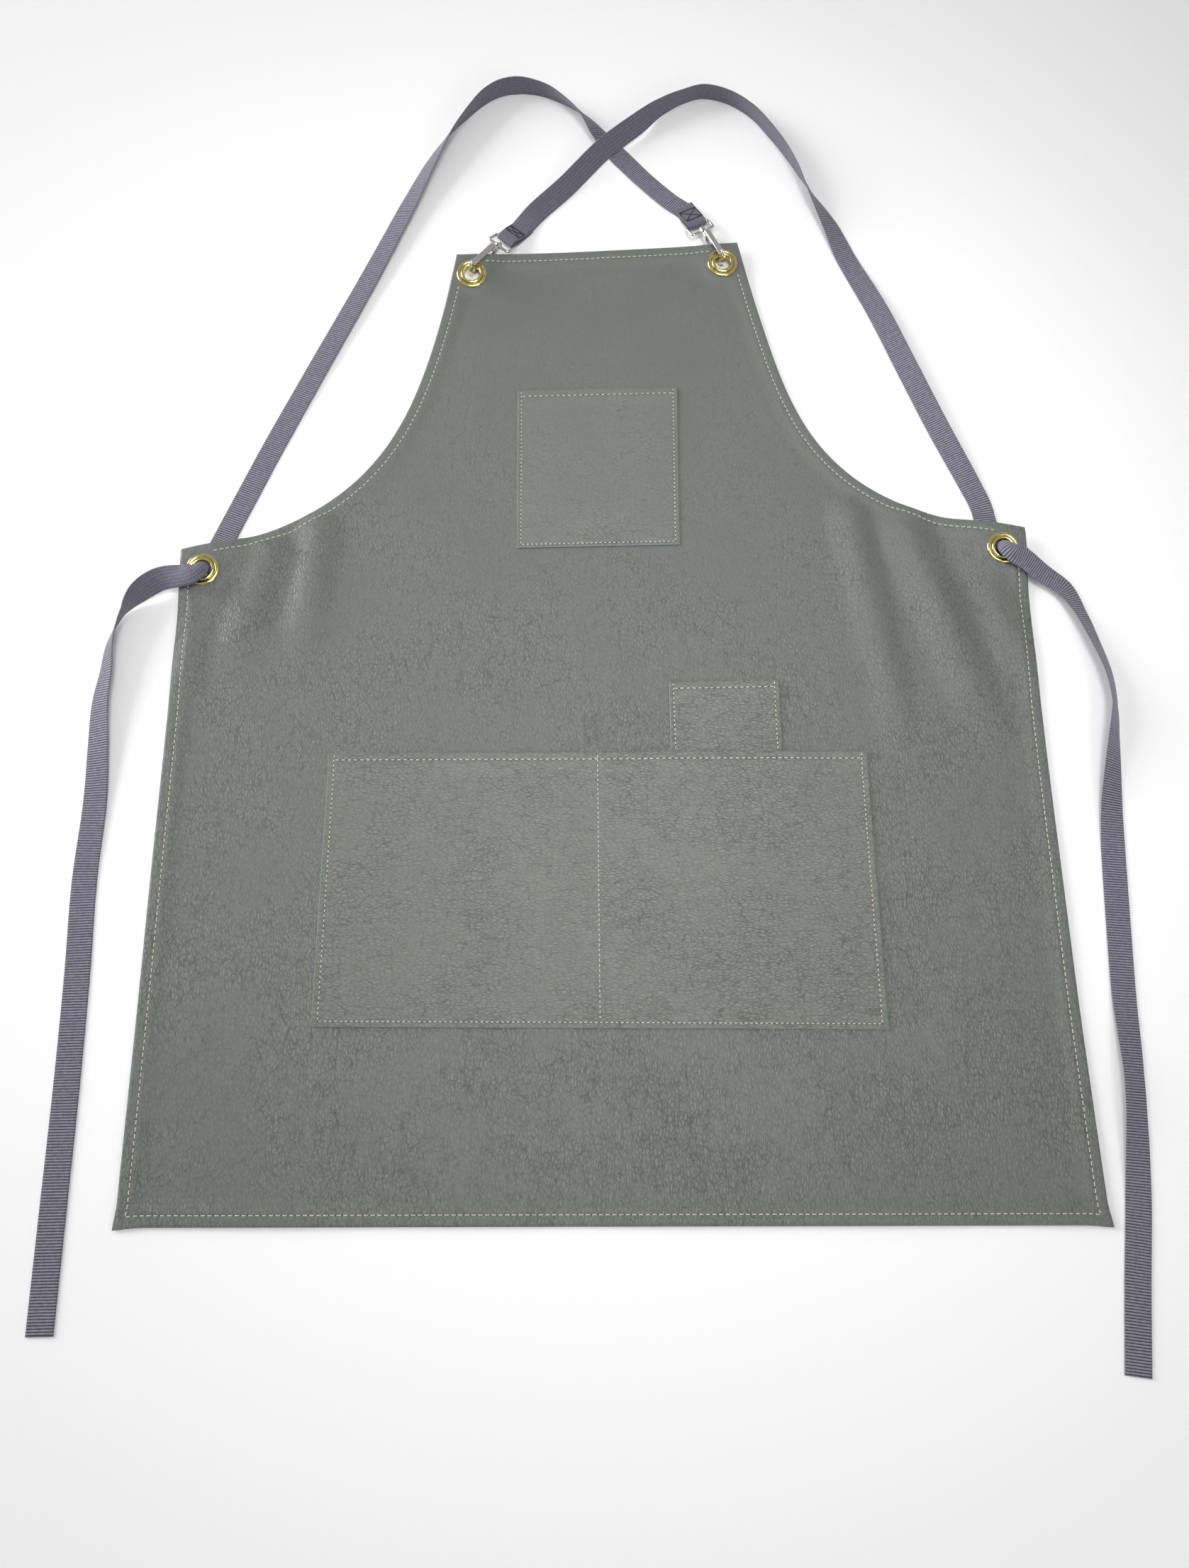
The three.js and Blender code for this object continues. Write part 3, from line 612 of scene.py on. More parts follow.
# %% Describe the pockets
POCKETS = {
    # corners in the order bottom left, bottom right, top right, top left
    "chest_pocket": [(-77, 133), (59, 137), (61, 291), (-78, 286)],
    "pen_pocket": [(47, -88), (135, -88), (135, 15), (46.5, 13)],
    "lower_pocket": [(-223, -260), (202, -264), (202, -46), (-222, -48)],
}
POCKET_SEAMS = {
    # side inset, bottom inset, top inset
    "chest_pocket": (3.4, 3.0, 6.5),
    "pen_pocket": (3.4, 3.0, 6.5),
    "lower_pocket": (4.5, 4.0, 6.4),
}
DIVIDER = -11.5
ON_BODY, ON_PEN, LAYER, POCKET_HEM = 1.6, 3.1, 1.2, 2.4
FULLNESS, SEAM_DIP, EDGE_WEAR = 0.9, 0.3, 0.22


def edge_distances(name, x, y):
    """Distances from the bottom, right, top and left edge of a pocket."""
    corners = np.array(POCKETS[name], float)
    gaps = []
    for a, b in zip(corners, np.roll(corners, -1, axis=0)):
        along = (b - a) / np.linalg.norm(b - a)
        gaps.append((y - a[1]) * along[0] - (x - a[0]) * along[1])
    return gaps


def underside(name, x, y):
    """The lower face of a pocket, which steps up over the pen pocket's foot."""
    if name != "lower_pocket":
        return np.full_like(x, ON_BODY)
    corners = POCKETS["pen_pocket"]
    beside = np.maximum(np.maximum(corners[0][0] - 0.3 - x, x - corners[1][0] - 0.3),
                        np.maximum(corners[0][1] - 0.3 - y, 0))
    return ON_PEN + (ON_BODY - ON_PEN) * smooth(beside, 1, 30)


print("pockets:", ", ".join(POCKETS))


# %% Shape the pockets
def pocket_heights(name, x, y):
    """The lower and upper face of a pocket."""
    bottom, right, top, left = edge_distances(name, x, y)
    side, foot, hem = POCKET_SEAMS[name]
    low = underside(name, x, y)
    thick = POCKET_HEM + (LAYER - POCKET_HEM) * smooth(top, 8, 20)
    bare = np.clip(top / 1.6, 0, 1)
    half = thick / 2 * np.maximum(np.sqrt(1 - (1 - bare) ** 2), 0.06)
    nearest = np.minimum(np.minimum(bottom, top), np.minimum(left, right))
    swell = 0.6 + 0.2 * np.sin(x / 19 + y / 47) + 0.2 * np.sin(y / 23 - x / 71)
    full = FULLNESS * smooth(nearest, 5, 40) * swell
    across = np.abs(x - DIVIDER) if name == "lower_pocket" else np.full_like(x, 99)
    full = full * smooth(across, 2, 30)
    if name == "pen_pocket":
        full = full * smooth(y, -30, 5)
    groove = np.zeros_like(x)
    for gap, seam in ((left, side), (right, side), (bottom, foot), (top, hem), (across, 0)):
        groove = np.maximum(groove, SEAM_DIP * np.exp(-((gap - seam) / 0.8) ** 2))
    edge = np.minimum(bottom, np.minimum(left, right))
    worn = EDGE_WEAR * (1 - np.clip(edge / 0.5, 0, 1)) ** 2
    return low + thick / 2 - half, low + thick / 2 + half + full - groove - worn


POCKET_DEPTHS = [0, 0.25, 0.5, 1.1, 1.9, 2.6, 3.2, 3.8, 4.6, 5.6, 6.2, 6.8, 7.6, 9, 11, 13.5, 16.5, 20]


def make_pocket(name, steps):
    """Models one pocket as a closed leather sheet."""
    corners = [np.array(c, float) for c in POCKETS[name]]
    edges = [line(a, b) for a, b in zip(corners, corners[1:] + corners[:1])]
    plan, _, quads, count = sheet_points(edges, steps, POCKET_DEPTHS, steps[0])
    low, high = pocket_heights(name, plan[:, 0], plan[:, 1])
    points, faces = two_sided(plan, low, high, quads, count)
    pocket = new_piece(name + "_leather", points, faces, pocket_leather, raw_edge)
    raw = np.zeros(len(faces), np.int32)
    raw_ring = np.arange(count)
    raw_ring = raw_ring[(raw_ring < steps[0] + steps[1]) | (raw_ring >= sum(steps[:3]))]
    raw[raw_ring] = 1
    raw[raw_ring + len(faces) - count] = 1
    pocket.data.polygons.foreach_set("material_index", raw)
    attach(pocket, "apron")
    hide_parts(name)
    return pocket


pocket_pieces = {
    "chest_pocket": make_pocket("chest_pocket", [60, 68, 60, 68]),
    "pen_pocket": make_pocket("pen_pocket", [44, 52, 44, 52]),
    "lower_pocket": make_pocket("lower_pocket", [150, 84, 150, 84]),
}
for name, piece in pocket_pieces.items():
    print(name, "has", len(piece.data.polygons), "faces")

# %% [markdown]
# ## Thread
# The leather is sewn with thick waxed polyester thread in cream, and each stitch lies between two needle
# holes, whose shade is painted as dark discs. The thread is twisted, so fine slanted lines cross it, and
# the wax gives it a soft gloss.


# %% Make the threads
def make_thread(name, dark, light, gloss):
    """Makes a twisted waxed thread."""
    material, tree, shader = new_material(name)
    twist = bands(tree, object_place(tree), "DIAGONAL", 0.6, 1.0)
    fill(tree, shader, {"Base Color": blend(tree, twist, dark, light), "Roughness": gloss})
    return material


cream_thread = make_thread("cream waxed thread", "#b9b49c", "#dcd8c4", 0.6)
navy_thread = make_thread("navy bonded thread", "#141320", "#2a2940", 0.5)
# Painted shade: the needle holes are flat near-black discs.
needle_hole_shade = make_thread("painted needle-hole shade", "#1c1d1e", "#26282a", 0.9)
print("threads:", cream_thread.name, "and", navy_thread.name)

# %% [markdown]
# One stitch is a short round thread whose ends dip into the leather. It is modelled once, as a few rings
# of five points, and copied along each seam. A seam has hundreds of stitches, so each stays small.

# %% Model one stitch and run seams
STITCH_RINGS = [
    # place along, thickness, height, in shares of the length and the radius
    (-0.50, 0.55, -0.7),
    (-0.36, 0.95, 0.35),
    (0.0, 1.0, 0.75),
    (0.36, 0.95, 0.35),
    (0.50, 0.55, -0.7),
]
SIDES = 5


def stitch_faces():
    """The faces of one stitch and of one hole, by point number."""
    faces = []
    for r in range(len(STITCH_RINGS) - 1):
        for s in range(SIDES):
            t = (s + 1) % SIDES
            faces.append((r * SIDES + s, r * SIDES + t, (r + 1) * SIDES + t, (r + 1) * SIDES + s))
    faces.append(tuple(range(SIDES - 1, -1, -1)))
    faces.append(tuple((len(STITCH_RINGS) - 1) * SIDES + s for s in range(SIDES)))
    return faces


def seam_ends(path, pitch):
    """Even stitch ends along a path."""
    length = np.linalg.norm(np.diff(path, axis=0), axis=1).sum()
    return spaced(np.asarray(path, float), max(int(round(length / pitch)), 1))


def sew(name, seams, thread, radius, share, hole):
    """Makes all stitches of the given seams; a seam is a list of stitch ends with heights."""
    turn = np.arange(SIDES) / SIDES * 2 * np.pi
    points, faces, kinds = [], [], []
    one = stitch_faces()
    for ends in seams:
        for a, b in zip(ends[:-1], ends[1:]):
            along = b - a
            length = np.linalg.norm(along)
            along = along / length
            side = np.cross((0, 0, 1), along)
            side /= np.linalg.norm(side)
            up = np.cross(along, side)
            base = len(points)
            for place, thick, height in STITCH_RINGS:
                middle = (a + b) / 2 + along * length * share * place + up * radius * height
                for t in turn:
                    points.append(middle + radius * thick * (side * np.cos(t) - up * 0.8 * np.sin(t)))
            faces += [[base + i for i in face] for face in one]
            kinds += [0] * len(one)
            # Each stitch end gets a flat dark disc, the needle hole's painted shade.
            base = len(points)
            for t in turn:
                points.append(a + hole * (along * np.cos(t) + side * np.sin(t)) + up * 0.06)
            faces.append([base + s for s in range(SIDES)])
            kinds.append(1)
    piece = new_piece(name, points, faces, thread, needle_hole_shade)
    piece.data.polygons.foreach_set("material_index", np.array(kinds, np.int32))
    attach(piece, "apron")
    return piece


print("faces in one stitch:", len(stitch_faces()))

# %% [markdown]
# The hem's seam runs along each edge and stops short of the washers, as the maker's does. Only the run of
# stitches that holds the edge's middle is kept, so none lies across a washer or beyond it.

# %% Sew the panel's hem
SEAM_STOP, HEM_PITCH = 15.5, 4.7
hem_seams = []
for edge in inset_edges(body_edges, SEAM):
    ends = seam_ends(edge, HEM_PITCH)
    gaps = np.array([np.hypot(ends[:, 0] - s[0], ends[:, 1] - s[1]) for s in SEATS.values()])
    middle = len(ends) // 2
    kept = np.min(gaps, axis=0) > SEAM_STOP
    first = middle - np.argmin(np.r_[kept[middle::-1], False]) + 1
    last = middle + np.argmin(np.r_[kept[middle:], False])
    ends = ends[first:last]
    height = panel_heights(ends[:, 0], ends[:, 1], np.full(len(ends), SEAM))[1]
    hem_seams.append(np.c_[ends, height])
panel_seam = sew("panel_hem_stitches", hem_seams, cream_thread, radius=0.4, share=0.74, hole=0.45)
print("hem stitches:", sum(len(seam) - 1 for seam in hem_seams))


# %% Sew the pockets
SIDE_PITCH, TOP_PITCH, TOP_GAP = 3.8, 4.85, 1.2


def pocket_seams(name):
    """The stitch ends of one pocket."""
    side, foot, hem = POCKET_SEAMS[name]
    bl, br, tr, tl = [np.array(c, float) for c in POCKETS[name]]
    left_foot, right_foot = bl + (side, foot), br + (-side, foot)
    left_hem, right_hem = tl + (side, -hem), tr + (-side, -hem)
    left_top, right_top = tl + (side, -TOP_GAP), tr + (-side, -TOP_GAP)
    runs = [[left_top, left_foot], [left_foot, right_foot], [right_foot, right_top]]
    if name == "pen_pocket":
        lower_top = POCKETS["lower_pocket"][2][1] + 1
        runs = [[left_top, (left_foot[0], lower_top)], [(right_foot[0], lower_top), right_top]]
    pitches = [SIDE_PITCH] * len(runs) + [TOP_PITCH]
    runs.append([left_hem, right_hem])
    if name == "lower_pocket":
        runs.append([(DIVIDER, tl[1] - TOP_GAP), (DIVIDER, bl[1] + foot)])
        pitches.append(SIDE_PITCH)
    seams = []
    for path, pitch in zip(runs, pitches):
        ends = seam_ends(np.array(path), pitch)
        seams.append(np.c_[ends, pocket_heights(name, ends[:, 0], ends[:, 1])[1]])
    return seams


for name in POCKETS:
    seams = pocket_seams(name)
    sew(name + "_stitches", seams, cream_thread, radius=0.38, share=0.6, hole=0.62)
    print(name, "stitches:", sum(len(seam) - 1 for seam in seams))

# %% [markdown]
# The size each pocket was cut to is printed. The panel and the turned top hems were cut larger by what
# is turned under.

TURNED = 11
for name, piece in pocket_pieces.items():
    bl, br, tr, tl = POCKETS[name]
    width, height = (br[0] - bl[0]) * MM, (tl[1] - bl[1] + TURNED) * MM
    print(name, "was cut", round(width * 1000), "by", round(height * 1000), "mm")

# %% [markdown]
# ## Webbing
# The straps are woven polypropylene webbing, 19 mm wide. One face shows seven lengthwise ridges, and the
# other shows ribs across, where a light and a dark yarn alternate. The pattern follows the strap, so it
# reads a UV map that holds metres across and along. The real ribs are 1.4 mm apart, too fine for the
# picture, so they are drawn 2 mm apart.

# %% Make the webbing
RIDGES, RIB = 7, 2.0
WEB_WIDTH, WEB_THICK = 19.0, 1.3


def make_webbing(name, across_pitch, along_pitch, weights, tints):
    """Makes one face of the webbing from two sets of bands."""
    material, tree, shader = new_material(name)
    place = add(tree, "UVMap", {"uv_map": "strap"}).outputs[0]
    lanes = ranged(tree, bands(tree, place, "X", across_pitch, 0.3), 0, 0.45, 0, weights[0])
    picks = ranged(tree, bands(tree, place, "Y", along_pitch, 0.4), 0, 0.75, 0, weights[1])
    high = add(tree, "Math", {"operation": "ADD"}, i0=lanes, i1=picks).outputs[0]
    uneven = share_plus(tree, noise(tree, place, 3, 3.0).outputs["Fac"], 0.5, high)
    ramp = add(tree, "ValToRGB", Fac=uneven)
    stops = ramp.color_ramp.elements
    stops[0].position, stops[1].position = 0.3, 1.0
    stops.new(0.62)
    for stop, tint in zip(stops, tints):
        stop.color = linear(tint)
    fill(tree, shader, {"Base Color": ramp.outputs[0], "Roughness": 0.75, "Sheen Weight": 0.15,
                        "Normal": bumped(tree, high, 0.9, 0.35)})
    return material


ridged_face = make_webbing("webbing with lengthwise ridges", WEB_WIDTH / RIDGES, 1.7, (0.22, 0.3),
                           ("#494755", "#656371", "#797786"))
ribbed_face = make_webbing("webbing with ribs across", 1.1, RIB, (0.1, 0.62),
                           ("#34323f", "#5f5d6b", "#8e8c9b"))
print("webbing faces:", ridged_face.name, "and", ribbed_face.name)

# %% [markdown]
# ## How the straps run
# Each strap is sewn round a hook's eye, crosses the other one, runs round an arm loop, comes up through a
# hip eyelet and ends in a free tail. Each row below is a point that the strap passes, its lift from the
# floor and how far it leans over: at 0 it lies flat, at 90 it stands on edge, at 180 it is turned over.

# %% Lay out the straps
RIGHT_LOOP = [
    # x, y, lift, lean
    (-62, 478, 0, 20), (-35, 507, 0, 28), (0, 548, 2.5, 32), (31, 576, 2, 48), (54, 597, 0, 80),
    (75, 610, 0, 94), (95, 617, 0, 96), (119, 611, 0, 98), (141, 594, 0, 97), (156, 573, 0, 95),
    (170, 549, 0, 98), (181, 525, 0, 106), (192, 499, 0, 126), (208, 466, 0, 160), (220, 434, 0, 178),
    (245, 372, 0, 196), (266, 312, 0, 200), (287, 254, 0, 197), (309, 199, 0, 188), (318, 175, 0, 182),
]
RIGHT_TAIL = [
    (362, 108, 6, 175), (378, 96, 2.5, 166), (388, 76, 0, 146), (397, 48, 0, 137), (404, 20, 0, 130),
    (405, -8, 0, 123), (401, -35, 0, 136), (397, -62, 0, 152), (393, -91, 0, 168), (390, -125, 0, 180),
    (386, -180, 0, 180), (382, -240, 0, 177), (380, -297, 0, 160), (378, -326, 0, 162),
    (372, -384, 0, 180), (363, -443, 0, 180), (355, -500, 0, 180),
]
LEFT_LOOP = [
    (60, 495, 0.2, 2), (38, 518, 0, 3), (14, 547, 0, 0), (-4, 569, 0, 22), (-20, 590, 0, 52),
    (-48, 612, 0, 78), (-65, 619, 0, 86), (-82, 621, 0, 95), (-98, 617, 0, 94), (-113, 606, 0, 90),
    (-128, 587, 0, 78), (-144, 563, 0, 62), (-160, 531, 0, 42), (-181, 480, 0, 22), (-212, 403, 0, 12),
    (-250, 313, 0, 5), (-285, 229, 0, 0), (-303, 183, 0, 0), (-312, 160, 0, 0),
]
LEFT_TAIL = [
    (-366, 98, 6, -25), (-381, 86, 2.5, -60), (-392, 70, 0.5, -104), (-400, 44, 0, -124),
    (-401, 19, 0, -138), (-403, -7, 0, -149), (-401, -45, 0, -162), (-399, -86, 0, -174),
    (-400, -150, 0, -180), (-397, -221, 0, -180), (-395, -300, 0, -180), (-394, -385, 0, -180),
    (-393, -466, 0, -180),
]
THREADING = [
    # ahead of the eyelet's middle, height, curl
    (-26, 1.2, 5), (-15, 3.6, 55), (-10, 5, 100), (-7, 6, 180), (-5, 8.4, 240), (-4.6, 11.5, 240),
    (-3.2, 14.8, 200), (0.2, 18.4, 155), (5.5, 20, 105), (12, 18.8, 72), (19, 15, 42),
]
print("rows:", len(RIGHT_LOOP) + len(RIGHT_TAIL), "and", len(LEFT_LOOP) + len(LEFT_TAIL))


# %% Turn rows into points
def heading(degrees):
    """A level direction."""
    return np.array([np.cos(np.radians(degrees)), np.sin(np.radians(degrees)), 0])


def laid_rows(rows):
    """Rows on the floor, lifted so that the strap's low edge rests there."""
    made = []
    for x, y, lift, lean in rows:
        turn = np.radians(lean)
        z = lift + abs(np.sin(turn)) * WEB_WIDTH / 2 + abs(np.cos(turn)) * WEB_THICK / 2
        made.append(dict(point=(x, y, z), lean=lean, curl=0, width=WEB_WIDTH, side=None))
    return made


def threaded_rows(seat, entry, leave, lean):
    """Rows that come up through a hip eyelet."""
    x, y, *_ = SEATS[seat]
    made = []
    for ahead, height, curl in THREADING:
        go = heading(entry + (leave - entry) * float(smooth(np.array(ahead), 0, 22)))
        point = np.array([x, y, 0]) + go * ahead + (0, 0, height)
        made.append(dict(point=point, lean=lean, curl=curl * np.cos(np.radians(lean)), width=WEB_WIDTH,
                         side=np.cross((0, 0, 1), go)))
    return made


HOOKS = {
    # x, y and heading from knuckle to nose
    "left": (-98, 434.5, 229),
    "right": (90.3, 453.5, -63),
}
BAR_BACK, BAR_HEIGHT, BAR_TURN = 12.9, 5, 2.4


def hook_bar(hook):
    """The middle of a hook's bar, and the level direction from it along the strap."""
    x, y, nose = HOOKS[hook]
    back = -heading(nose)
    return np.array([x, y, 0]) + back * BAR_BACK, back


def sewn_rows(hook, flap, main, sign):
    """Rows of the flap, the turn round the hook's eye and the start of the strap."""
    bar, back = hook_bar(hook)
    made = list(flap)
    for angle in (-75, -115, -155, -195, -235, -280):
        turn = np.radians(angle * sign)
        made.append((BAR_TURN * np.cos(turn), BAR_HEIGHT + BAR_TURN * np.sin(turn)))
    made += main
    rows = []
    for along, height in made:
        rows.append(dict(point=bar + back * along + (0, 0, height), lean=0, curl=0,
                         width=18 if along < 6 else WEB_WIDTH, side=np.cross((0, 0, 1), back)))
    return rows


strap_rows = {
    "strap_right": sewn_rows("left", [(26, 0.8), (17, 1.1), (8, 1.8)], [(4, 7.3), (10, 6), (19, 3.8)], 1)
    + laid_rows(RIGHT_LOOP) + threaded_rows("hip_right", -72, -36, 180) + laid_rows(RIGHT_TAIL),
    "strap_left": sewn_rows("right", [(26, 2.5), (17, 3.6), (8, 6)], [(5, 2.3), (10, 1.7), (19, 0.9)], -1)
    + laid_rows(LEFT_LOOP) + threaded_rows("hip_left", 249, 204, 0) + laid_rows(LEFT_TAIL),
}
print("rows in all:", {name: len(rows) for name, rows in strap_rows.items()})


# %% [markdown]
# A centripetal Catmull-Rom curve passes through every row without loops or overshoot, so it suits a
# strap whose rows are close at the eyelets and far apart on the floor. Fine stations along it carry the
# webbing's cross-section, with its rounded edges and, on one face, its ridges.


# %% Run a smooth curve through the rows
def through(points, step):
    """Fine points on a curve through the given ones, and the row number of each."""
    ends = np.concatenate([[2 * points[0] - points[1]], points, [2 * points[-1] - points[-2]]])
    fine, number = [], []
    for i in range(len(points) - 1):
        p0, p1, p2, p3 = ends[i:i + 4]
        t1 = np.linalg.norm(p1 - p0) ** 0.5
        t2 = t1 + np.linalg.norm(p2 - p1) ** 0.5
        t3 = t2 + np.linalg.norm(p3 - p2) ** 0.5
        steps = max(int(np.linalg.norm(p2 - p1) / step), 2)
        for k in range(steps):
            t = t1 + (t2 - t1) * k / steps
            a1 = (t1 - t) / t1 * p0 + t / t1 * p1
            a2 = (t2 - t) / (t2 - t1) * p1 + (t - t1) / (t2 - t1) * p2
            a3 = (t3 - t) / (t3 - t2) * p2 + (t - t2) / (t3 - t2) * p3
            b1 = (t2 - t) / t2 * a1 + t / t2 * a2
            b2 = (t3 - t) / (t3 - t1) * a2 + (t - t1) / (t3 - t1) * a3
            fine.append((t2 - t) / (t2 - t1) * b1 + (t - t1) / (t2 - t1) * b2)
            number.append(i + k / steps)
    return np.array(fine + [points[-1]]), np.array(number + [len(points) - 1.0])


def unit(vectors):
    """Vectors of length one."""
    return vectors / np.linalg.norm(vectors, axis=-1, keepdims=True)


def row_sides(rows, points):
    """The level direction across the strap at each row."""
    sides = []
    for i, row in enumerate(rows):
        step = points[min(i + 1, len(points) - 1)] - points[max(i - 1, 0)]
        level = np.cross((0, 0, 1), (step[0], step[1], 0))
        sides.append(unit(row["side"] if row["side"] is not None else level))
    return np.array(sides)


print("a curve through three points has", len(through(np.eye(3) * 9, 2)[0]), "points")


# %% Find the strap's stations
STATION_STEP = 2.2


def row_values(rows, number, key):
    """One value of the rows at every station."""
    return np.interp(number, np.arange(len(rows)), [row[key] for row in rows])


def strap_stations(rows):
    """Places along a strap with their row numbers, and the directions across it and out of its face."""
    points = np.array([row["point"] for row in rows], float)
    fine, number = through(points, STATION_STEP)
    along = unit(np.gradient(fine, axis=0))
    sides = row_sides(rows, points)
    side = np.stack([np.interp(number, np.arange(len(rows)), sides[:, k]) for k in range(3)], axis=1)
    side = unit(side - along * np.sum(side * along, axis=1)[:, None])
    lean = np.radians(row_values(rows, number, "lean"))[:, None]
    side = side * np.cos(lean) + np.cross(along, side) * np.sin(lean)
    return fine, number, side, np.cross(along, side)


print("stations on the right strap:", len(strap_stations(strap_rows["strap_right"])[0]))

# %% Give the strap its cross-section
ACROSS = 28
EDGE_SHARE, RIDGE_HEIGHT, RIB_HEIGHT = 0.07, 0.09, 0.05
SHARES = np.linspace(-0.5, 0.5, ACROSS + 1)


def strap_skin(fine, side, rise, width, curl, ridged_faces):
    """Loops of points round the strap: along the upper face, then back along the lower one."""
    rim = np.clip(np.abs(SHARES) * 2 - (1 - EDGE_SHARE), 0, 1) / EDGE_SHARE
    lip = np.sqrt(np.clip(1 - rim ** 2, 0.05, 1))
    ridge = RIDGE_HEIGHT * np.cos(SHARES * RIDGES * 2 * np.pi)
    radius, turn = (width / curl)[:, None], curl[:, None] * SHARES[None]
    faces = []
    for face, ridged in ridged_faces:
        relief = np.where(ridged[:, None], ridge[None], RIB_HEIGHT)
        out = face * (WEB_THICK / 2 * lip[None] - RIDGE_HEIGHT + relief)
        across, up = (radius + out) * np.sin(turn), (radius + out) * np.cos(turn) - radius
        points = fine[:, None] + side[:, None] * across[..., None] + rise[:, None] * up[..., None]
        faces.append(points[:, ::face])
    loop = np.concatenate(faces, axis=1)
    loop[..., 2] += np.clip(-loop[..., 2].min(axis=1), 0, None)[:, None]
    return loop


def strap_map(width, length):
    """Metres across and along the strap, in the order of its loops."""
    metres = np.broadcast_arrays(SHARES[None] * width[:, None] * MM, length[:, None] * MM)
    flat = np.stack(metres, axis=-1)
    return np.concatenate([flat, flat[:, ::-1]], axis=1).reshape(-1, 2)


print("points round a strap:", 2 * len(SHARES))


# %% Weave the straps
def make_strap(name, ridged_on_top, turned_at):
    """Models one strap; ridged_on_top gives its faces, which swap after the row turned_at."""
    rows = strap_rows[name]
    fine, number, side, rise = strap_stations(rows)
    width = row_values(rows, number, "width")
    curl = np.radians(row_values(rows, number, "curl"))
    curl = np.where(np.abs(curl) < 0.01, 0.01, curl)
    length = np.r_[0, np.cumsum(np.linalg.norm(np.diff(fine, axis=0), axis=1))]
    ridged = (number > turned_at) != ridged_on_top
    loop = strap_skin(fine, side, rise, width, curl, ((1, ridged), (-1, ~ridged)))
    stations, around = loop.shape[:2]
    i, j = np.meshgrid(np.arange(stations - 1), np.arange(around), indexing="ij")
    k = (j + 1) % around
    corners = [i * around + j, (i + 1) * around + j, (i + 1) * around + k, i * around + k]
    faces = np.stack(corners, axis=-1).reshape(-1, 4)
    caps = [list(range(around)), list(range(stations * around - 1, (stations - 1) * around - 1, -1))]
    strap = new_piece(name + "_webbing", loop.reshape(-1, 3), faces.tolist() + caps, ridged_face, ribbed_face)
    kinds = np.where((j <= ACROSS) == ridged[i], 0, 1).reshape(-1)
    strap.data.polygons.foreach_set("material_index", np.r_[kinds, 1, 1].astype(np.int32))
    layer = strap.data.uv_layers.new(name="strap")
    corner = np.zeros(len(strap.data.loops), np.int32)
    strap.data.loops.foreach_get("vertex_index", corner)
    layer.data.foreach_set("uv", strap_map(width, length)[corner].astype(np.float32).ravel())
    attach(strap, "apron")
    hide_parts(name)
    return strap, length[-1]


# The left strap turns over inside its hip eyelet, six rows before its tail starts.
left_turn = len(strap_rows["strap_left"]) - len(LEFT_TAIL) - 6
straps = {
    "strap_right": make_strap("strap_right", True, len(strap_rows["strap_right"])),
    "strap_left": make_strap("strap_left", False, left_turn),
}
for name, (strap, length) in straps.items():
    print(name, "is", round(length), "mm long, with", len(strap.data.polygons), "faces")

# %% [markdown]
# The hook end of each strap is folded back and sewn with a box and a cross, in dark bonded thread. The
# stitches lie on the upper layer, so their heights follow that layer's rows.


# %% Sew the box and cross
BOX_HALF, BOX_PITCH, ON_WEBBING = 8.2, 2.4, 0.62
BOXES = {
    # hook, near and far end from its bar, and the upper layer as pairs of distance and height
    "strap_right": ("left", 8, 15, [(4, 7.3), (10, 6), (19, 3.8), (30, 2.2)]),
    "strap_left": ("right", 5.5, 19, [(3, 7.2), (8, 6), (17, 3.6), (26, 2.5)]),
}


def box_cross(hook, near, far, layer):
    """Stitch ends of a box with a cross, between two distances from the hook's bar."""
    bar, back = hook_bar(hook)
    across = np.cross((0, 0, 1), back)
    a, b, c, d = (near, -BOX_HALF), (far, -BOX_HALF), (far, BOX_HALF), (near, BOX_HALF)
    seams = []
    for run in ((a, b), (b, c), (c, d), (d, a), (a, c), (b, d)):
        ends = seam_ends(np.array(run), BOX_PITCH)
        height = np.interp(ends[:, 0], *np.transpose(layer)) + ON_WEBBING
        level = bar + np.outer(ends[:, 0], back) + np.outer(ends[:, 1], across)
        seams.append(level + np.c_[ends * 0, height])
    return seams


for name, box in BOXES.items():
    sewn = sew(name + "_box_stitches", box_cross(*box), navy_thread, radius=0.45, share=1.0, hole=0.3)
    print(name, "box stitches:", len(sewn.data.polygons), "faces")

# %% [markdown]
# ## Metals
# The eyelets are stamped from brass and polished, and age to a warmer, uneven tone. The snap hooks are
# cast zinc with a bright nickel plate. Both are metallic, so their colour is that of their reflections,
# and a little noise in the roughness breaks up a mirror that would look computed.


# %% Make the metals
def make_metal(name, tints, gloss, grain):
    """Makes a polished metal with a slightly uneven tone."""
    material, tree, shader = new_material(name)
    cloud = noise(tree, object_place(tree), grain, 4.0).outputs["Fac"]
    polish = ranged(tree, cloud, 0.25, 0.75, *gloss, "LINEAR")
    fill(tree, shader, {"Base Color": blend(tree, cloud, *tints), "Roughness": polish, "Metallic": 1.0})
    return material


brass = make_metal("polished brass", ("#ccb974", "#eadd9f"), (0.14, 0.26), 4)
nickel = make_metal("nickel plate", ("#d2d0cb", "#efede8"), (0.08, 0.18), 3)
print("metals:", brass.name, "and", nickel.name)

# %% [markdown]
# ## Eyelets and washers
# An eyelet is a short barrel with a flange behind the leather and a rolled lip in front, and the washer
# is the ring that the lip is rolled over. Both are turned shapes: a profile is drawn once and spun round
# its axis. The parts that show are half ellipses, because stamping leaves no sharp corner.


# %% Turn the brass
def crown(outer, inner, base, rise):
    """A half ellipse from an outer to an inner radius, over the top."""
    turn = np.linspace(0, np.pi, 15)
    middle, half = (outer + inner) / 2, (outer - inner) / 2
    return np.c_[middle + half * np.cos(turn), base + rise * np.sin(turn)].tolist()


